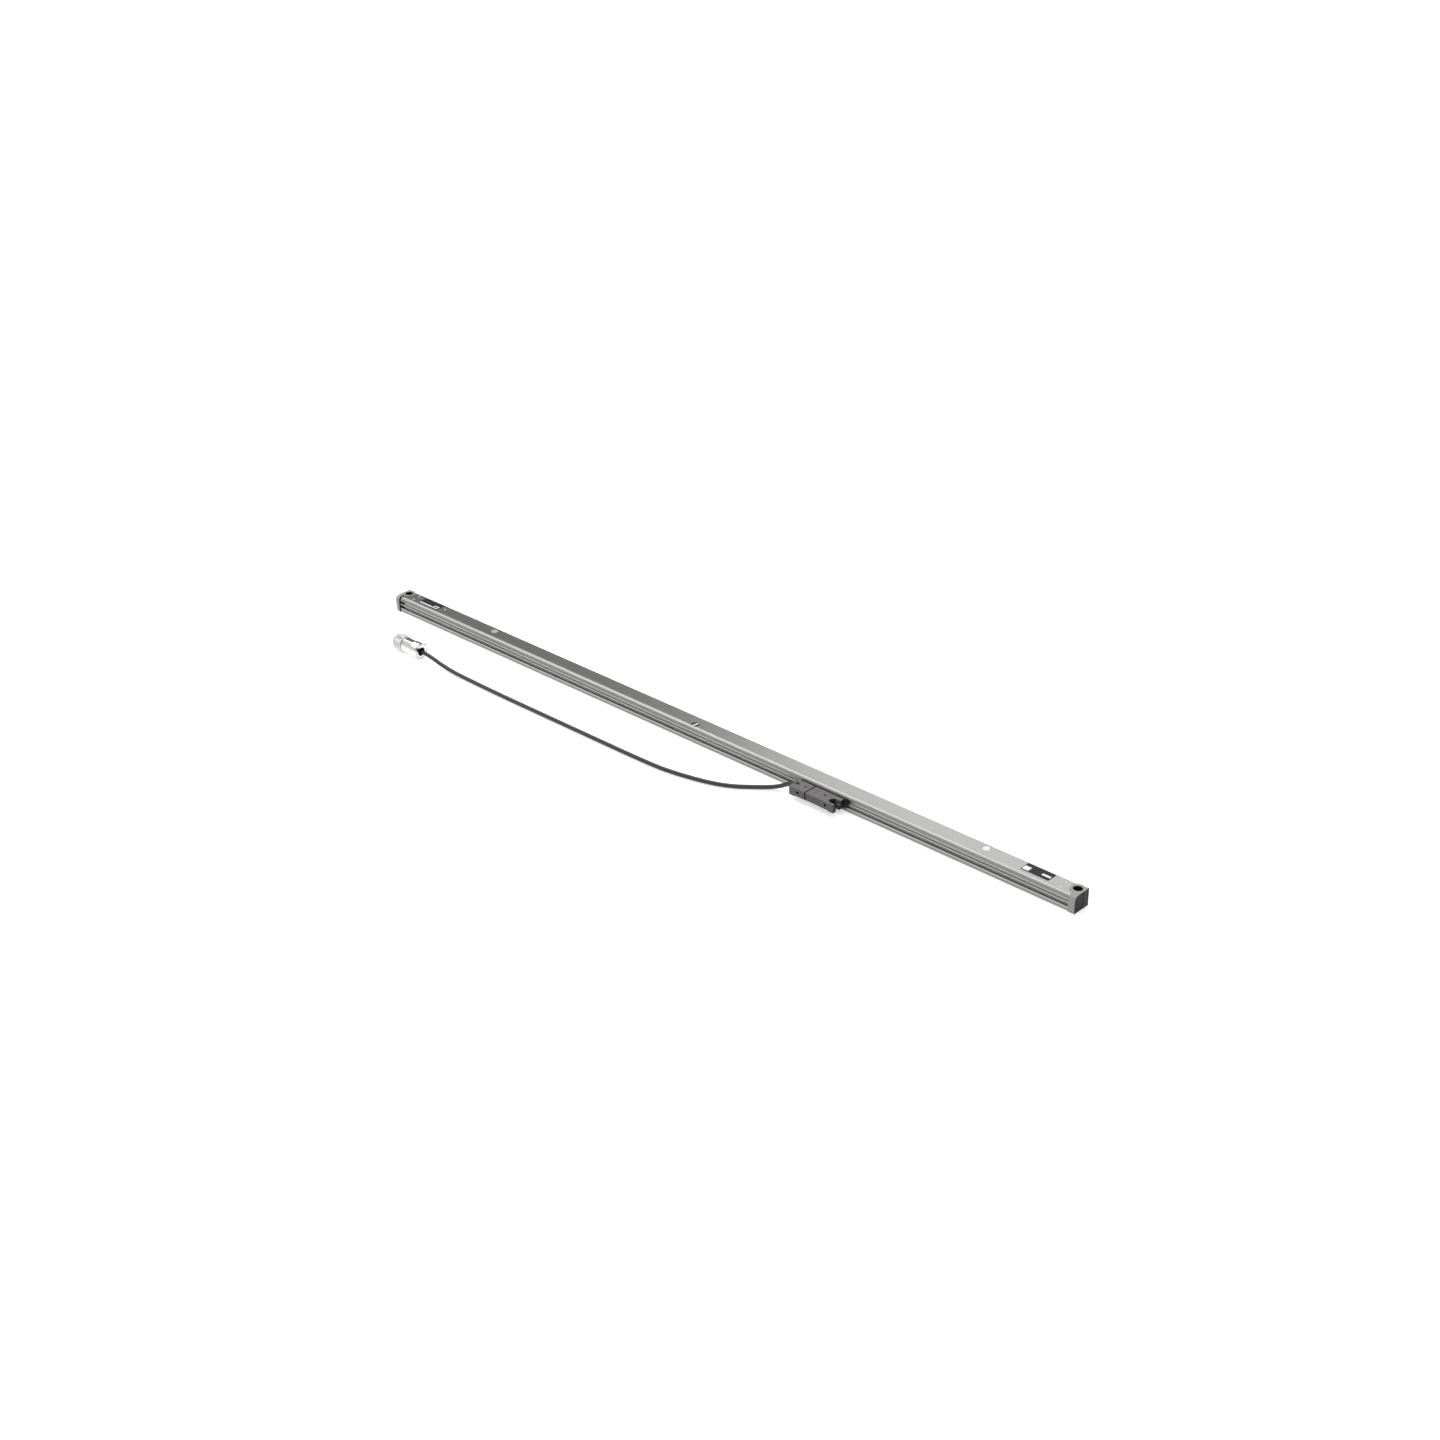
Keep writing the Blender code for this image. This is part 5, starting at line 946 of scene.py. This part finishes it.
def build_labels():
    """Label films with plain white fields."""
    for name, spec in LABELS.items():
        place = (spec["x"], LABEL_Y, 0)
        outline = rectangle([-half for half in LABEL_HALF], LABEL_HALF, 0.6, 5)
        film = prism(outline, *FILM_Z, "Z")
        piece(f"label_film_{name}", moved(carve(film, edge=0.06), place), FILM,
              "housing", (f"label_{name}",))
        fields = [prism(rectangle(spec[key][:2], spec[key][2:], FIELD_CORNER, 3), *FIELD_Z, "Z")
                  for key in ("square", "bar")]
        if name == "left":
            low = [value + SQUARE_FRAME for value in spec["square"][:2]]
            high = [value - SQUARE_FRAME for value in spec["square"][2:]]
            fields[0] = carve(fields[0], [prism(rectangle(low, high, FIELD_CORNER, 3), TOP, TOP + 1, "Z")])
        piece(f"label_fields_{name}", moved(joined(fields), place), PAPER, "housing")


# The reading head

# Ends of the seam between its two blocks, and of its feet, with X from the middle
SEAM = (-9.7, -8.1)
FEET = {"left": (-30.6, -23.2), "right": (23.2, 30.6)}
FOOT_Z = 5.8
# Where the cable's bore ends in X, and how far the open slots reach, with X from the middle
CABLE_BORE_END = 171.7
SLOTS_REACH = {"left": -32.0, "right": 33.0}
# Front cover plate, and the fine grooves in the top: low and high in Y, and half their width
COVER = (-7.5, 13.0)
TOP_GROOVES = ((-14.0, -7.5), (-5.2, -3.8))
TOP_GROOVE_HALF = 0.25


def at(x):
    """A place along the head, measured from its middle."""
    return HEAD_X + x


def head_foot(name):
    low, high = FEET[name]
    return box((at(low), HEAD_F + 0.4, FOOT_Z), (at(high), HEAD_B - 0.4, HEAD_Z0 + 0.4))


def build_head():
    block = box((at(-HEAD_HALF), HEAD_F, HEAD_Z0), (at(SEAM[0]), HEAD_B, HEAD_Z1))
    x, y = at(CABLE_ENTRY[0]), CABLE_ENTRY[1]
    bore = lathe(((x, 0), (x, CABLE_BORE_RADIUS), (CABLE_BORE_END, CABLE_BORE_RADIUS),
                  (CABLE_BORE_END, 0)), "X", 40)
    cuts = [
        prism(open_slot((x, y), CABLE_SLOT_RADIUS, at(SLOTS_REACH["left"])), CABLE_SLOT_FLOOR, 17.0, "Z"),
        moved(bore, (0, y, CABLE_ENTRY_Z)),
        front_hole(at(FRONT_HOLES["left"])),
        top_hole(at(SET_SCREWS["left"])),
    ]
    block = carve(block, cuts, [head_foot("left")], edge=0.35, segments=3, angle=40)
    piece("cable_block", block, HEAD_CAST, "slider", ("head_cable_block",), 32)

    block = box((at(SEAM[1]), HEAD_F, HEAD_Z0), (at(HEAD_HALF), HEAD_B, HEAD_Z1))
    centre = (at(SCREW_SLOT[0]), SCREW_SLOT[1])
    reach = at(SLOTS_REACH["right"])
    cuts = [
        prism(open_slot(centre, COUNTERBORE_RADIUS, reach), COUNTERBORE_FLOOR, 18, "Z"),
        prism(open_slot(centre, SCREW_SLOT_RADIUS, reach), 0, 14, "Z"),
        box((at(COVER[0] - 0.2), HEAD_F - 1, HEAD_Z0 - 1), (at(COVER[1] + 0.2), HEAD_F + 0.6, HEAD_Z1 - 1.4)),
        *(top_groove(low, high) for low, high in TOP_GROOVES),
        box((at(-6.0), HEAD_B - 5.2, HEAD_Z0 + 1.6), (at(18.0), HEAD_B + 1, HEAD_Z1 - 1.6)),
        front_hole(at(FRONT_HOLES["right"])),
        top_hole(at(SET_SCREWS["right"])),
    ]
    block = carve(block, cuts, [head_foot("right")], edge=0.3, segments=3, angle=40)
    piece("main_block", block, HEAD_CAST, "slider", ("head_main_block",), 32)
    plate = box((at(COVER[0]), HEAD_F + 0.25, HEAD_Z0 + 0.1), (at(COVER[1]), HEAD_F + 0.62, HEAD_Z1 - 1.6))
    piece("front_plate", carve(plate, edge=0.1), HEAD_PLATE, "slider")
    gasket = box((at(SEAM[0] + 0.3), HEAD_F + 0.1, HEAD_Z0 + 0.1),
                 (at(SEAM[1] - 0.3), HEAD_B - 0.1, HEAD_Z1 - 0.1))
    piece("seam_rubber", carve(gasket, edge=0.2, segments=3), RUBBER, "slider",
          ("head_seam_gasket",))
    top = HEAD_Z1 - 0.3
    profile = ((top - 5.4, 0), (top - 5.4, 1.0), (top - 0.15, 1.0), (top, 0.85), (top, 0))
    for name, x in SET_SCREWS.items():
        screw = carve(lathe(profile, "Z", 32), [star_recess(0.62, top - 0.8, top + 1)])
        piece(f"set_screw_{name}", moved(screw, (at(x), SET_SCREW_Y, 0)), BLACKENED, "slider",
              (f"head_screw_{name}",))


def top_groove(low, high):
    """Cutter for a fine groove in the head's top."""
    outline = rectangle((at(-TOP_GROOVE_HALF), low), (at(TOP_GROOVE_HALF), high), 0.22, 3)
    return prism(outline, HEAD_Z1 - 0.4, HEAD_Z1 + 1, "Z")


def front_hole(x):
    """Cutter for a tapped hole with thread ridges and a countersunk mouth."""
    profile = [(HEAD_F - 1, 0), (HEAD_F - 1, 1.9), (HEAD_F, 1.9), (HEAD_F + 0.3, 1.62)]
    for k in range(6):
        y = HEAD_F + 0.5 + 0.7 * k
        profile += [(y, 1.42), (y + 0.35, 1.65)]
    profile += [(HEAD_F + 4.9, 1.45), (HEAD_F + 5.0, 0)]
    return moved(lathe(profile, "Y", 32), (x, 0, FRONT_HOLE_Z))


def top_hole(x):
    """Cutter for a small screw's hole in the head's top, with a fine edge break."""
    profile = ((10.2, 0), (10.2, 1.3), (HEAD_Z1 - 0.15, 1.3), (HEAD_Z1 + 0.15, 1.6), (18, 1.6), (18, 0))
    return moved(lathe(profile, "Z", 32), (x, SET_SCREW_Y, 0))


# Light and floor

# The sky is brightest round this direction; strengths and the cosines between which they rise
LIGHT_SIDE = (-0.35, -0.60, 0.72)
SKY_STRENGTH = (0.14, 0.85)
SKY_REACH = (0.15, 0.75)
# Pale band above the floor's edge, and the heights between which it fades
HORIZON_STRENGTH = (0.95, 0.0)
HORIZON_REACH = (0.04, 0.22)
LAMPS = {
    "overhead_left": {"place": (-1.7, 0.15, 2.2), "target": (-1.7, 0.15, 0), "size": (2.8, 1.7), "power": 30},
    "overhead_right": {"place": (0.5, -0.3, 2.4), "target": (0.3, -0.2, 0), "size": (1.5, 1.5), "power": 9},
    "back_right": {"place": (-0.35, 1.6, 1.25), "target": (0.1, 0, 0), "size": (1.8, 1.3), "power": 13.8},
}
FLOOR_HALF = 14.0
FLOOR_Z = -0.0002
FLOOR_COLOUR = (0.80, 0.80, 0.80)
# The floor as the camera, mirrors and glass see it: its strength near and far, and the distances
# between which that changes
FLOOR_GLOW = (0.55, 0.85)
FLOOR_GLOW_REACH = (0.9, 3.5)


def area_light(name, place, target, size, power):
    data = bpy.data.lights.new(name, "AREA")
    data.shape = "RECTANGLE"
    data.size, data.size_y = size
    data.energy = power
    obj = bpy.data.objects.new(name, data)
    bpy.context.scene.collection.objects.link(obj)
    obj.location = place
    obj.rotation_euler = (Vector(place) - Vector(target)).to_track_quat("Z", "Y").to_euler()


def build_world():
    """Soft pale sky, brightest on the left front and along the horizon."""
    world = bpy.data.worlds.new("studio")
    bpy.context.scene.world = world
    world.use_nodes = True
    n = Nodes(world.node_tree)
    background = n.tree.nodes["Background"]
    direction = n.add("ShaderNodeTexCoord").outputs["Generated"]
    facing = n.add("ShaderNodeVectorMath", operation="DOT_PRODUCT")
    facing.inputs[1].default_value = LIGHT_SIDE
    n.link(direction, facing.inputs[0])
    sky = n.ramp(facing.outputs["Value"], *SKY_STRENGTH, *SKY_REACH, interpolation_type="SMOOTHSTEP")
    height = n.split(direction)["Z"]
    horizon = n.ramp(height, *HORIZON_STRENGTH, *HORIZON_REACH, interpolation_type="SMOOTHSTEP")
    n.link(n.combine("MAXIMUM", [sky, horizon]), background.inputs["Strength"])
    background.inputs["Color"].default_value = (1, 1, 1, 1)


def build_floor():
    """Plain pale floor that looks white and still takes the object's shadow."""
    mesh = bpy.data.meshes.new("floor")
    corners = [(x * FLOOR_HALF, y * FLOOR_HALF, FLOOR_Z) for x, y in ((-1, -1), (1, -1), (1, 1), (-1, 1))]
    mesh.from_pydata(corners, [], [(0, 1, 2, 3)])
    floor = bpy.data.objects.new("floor", mesh)
    bpy.context.scene.collection.objects.link(floor)
    n = Finish("floor_white")
    n.set("Base Color", FLOOR_COLOUR)
    n.set("Roughness", 0.8)
    n.set("Specular IOR Level", 0.1)
    rays = n.add("ShaderNodeLightPath").outputs
    seen = n.combine("MAXIMUM", [rays[f"Is {kind} Ray"] for kind in ("Camera", "Glossy", "Transmission")])
    reach = n.add("ShaderNodeVectorMath", operation="LENGTH")
    n.link(n.coords, reach.inputs[0])
    glow = n.ramp(reach.outputs["Value"], *FLOOR_GLOW, *FLOOR_GLOW_REACH)
    n.set("Emission Color", (1.0, 1.0, 1.0))
    n.set("Emission Strength", n.combine("MULTIPLY", [seen, glow]))
    mesh.materials.append(n.material)


build_camera()
build_cable(build_connector())
build_housing()
build_caps()
build_gaskets()
build_lips()
build_screws()
build_labels()
build_head()
dress(GROUND, "carrier_bar", "face_roller_left", "face_roller_right", "edge_roller_left", "edge_roller_right")
dress(MAGNET, "magnetic_strip")
dress(RUBBER, "end_buffer_left", "end_buffer_right", "cable_gland")
dress(BOARD, "signal_board", "sensor_board")
dress(CHIP, "sensor_chip")
dress(SPRING, "preload_spring")
dress(ZINC, "face_axle_left", "face_axle_right", "edge_axle_left", "edge_axle_right")
dress(MOULDED, "carriage")
dress(NECK_BLACK, "neck_plate")
bpy.context.scene.view_settings.view_transform = "Standard"
build_world()
for lamp_name, lamp in LAMPS.items():
    area_light(lamp_name, **lamp)
build_floor()
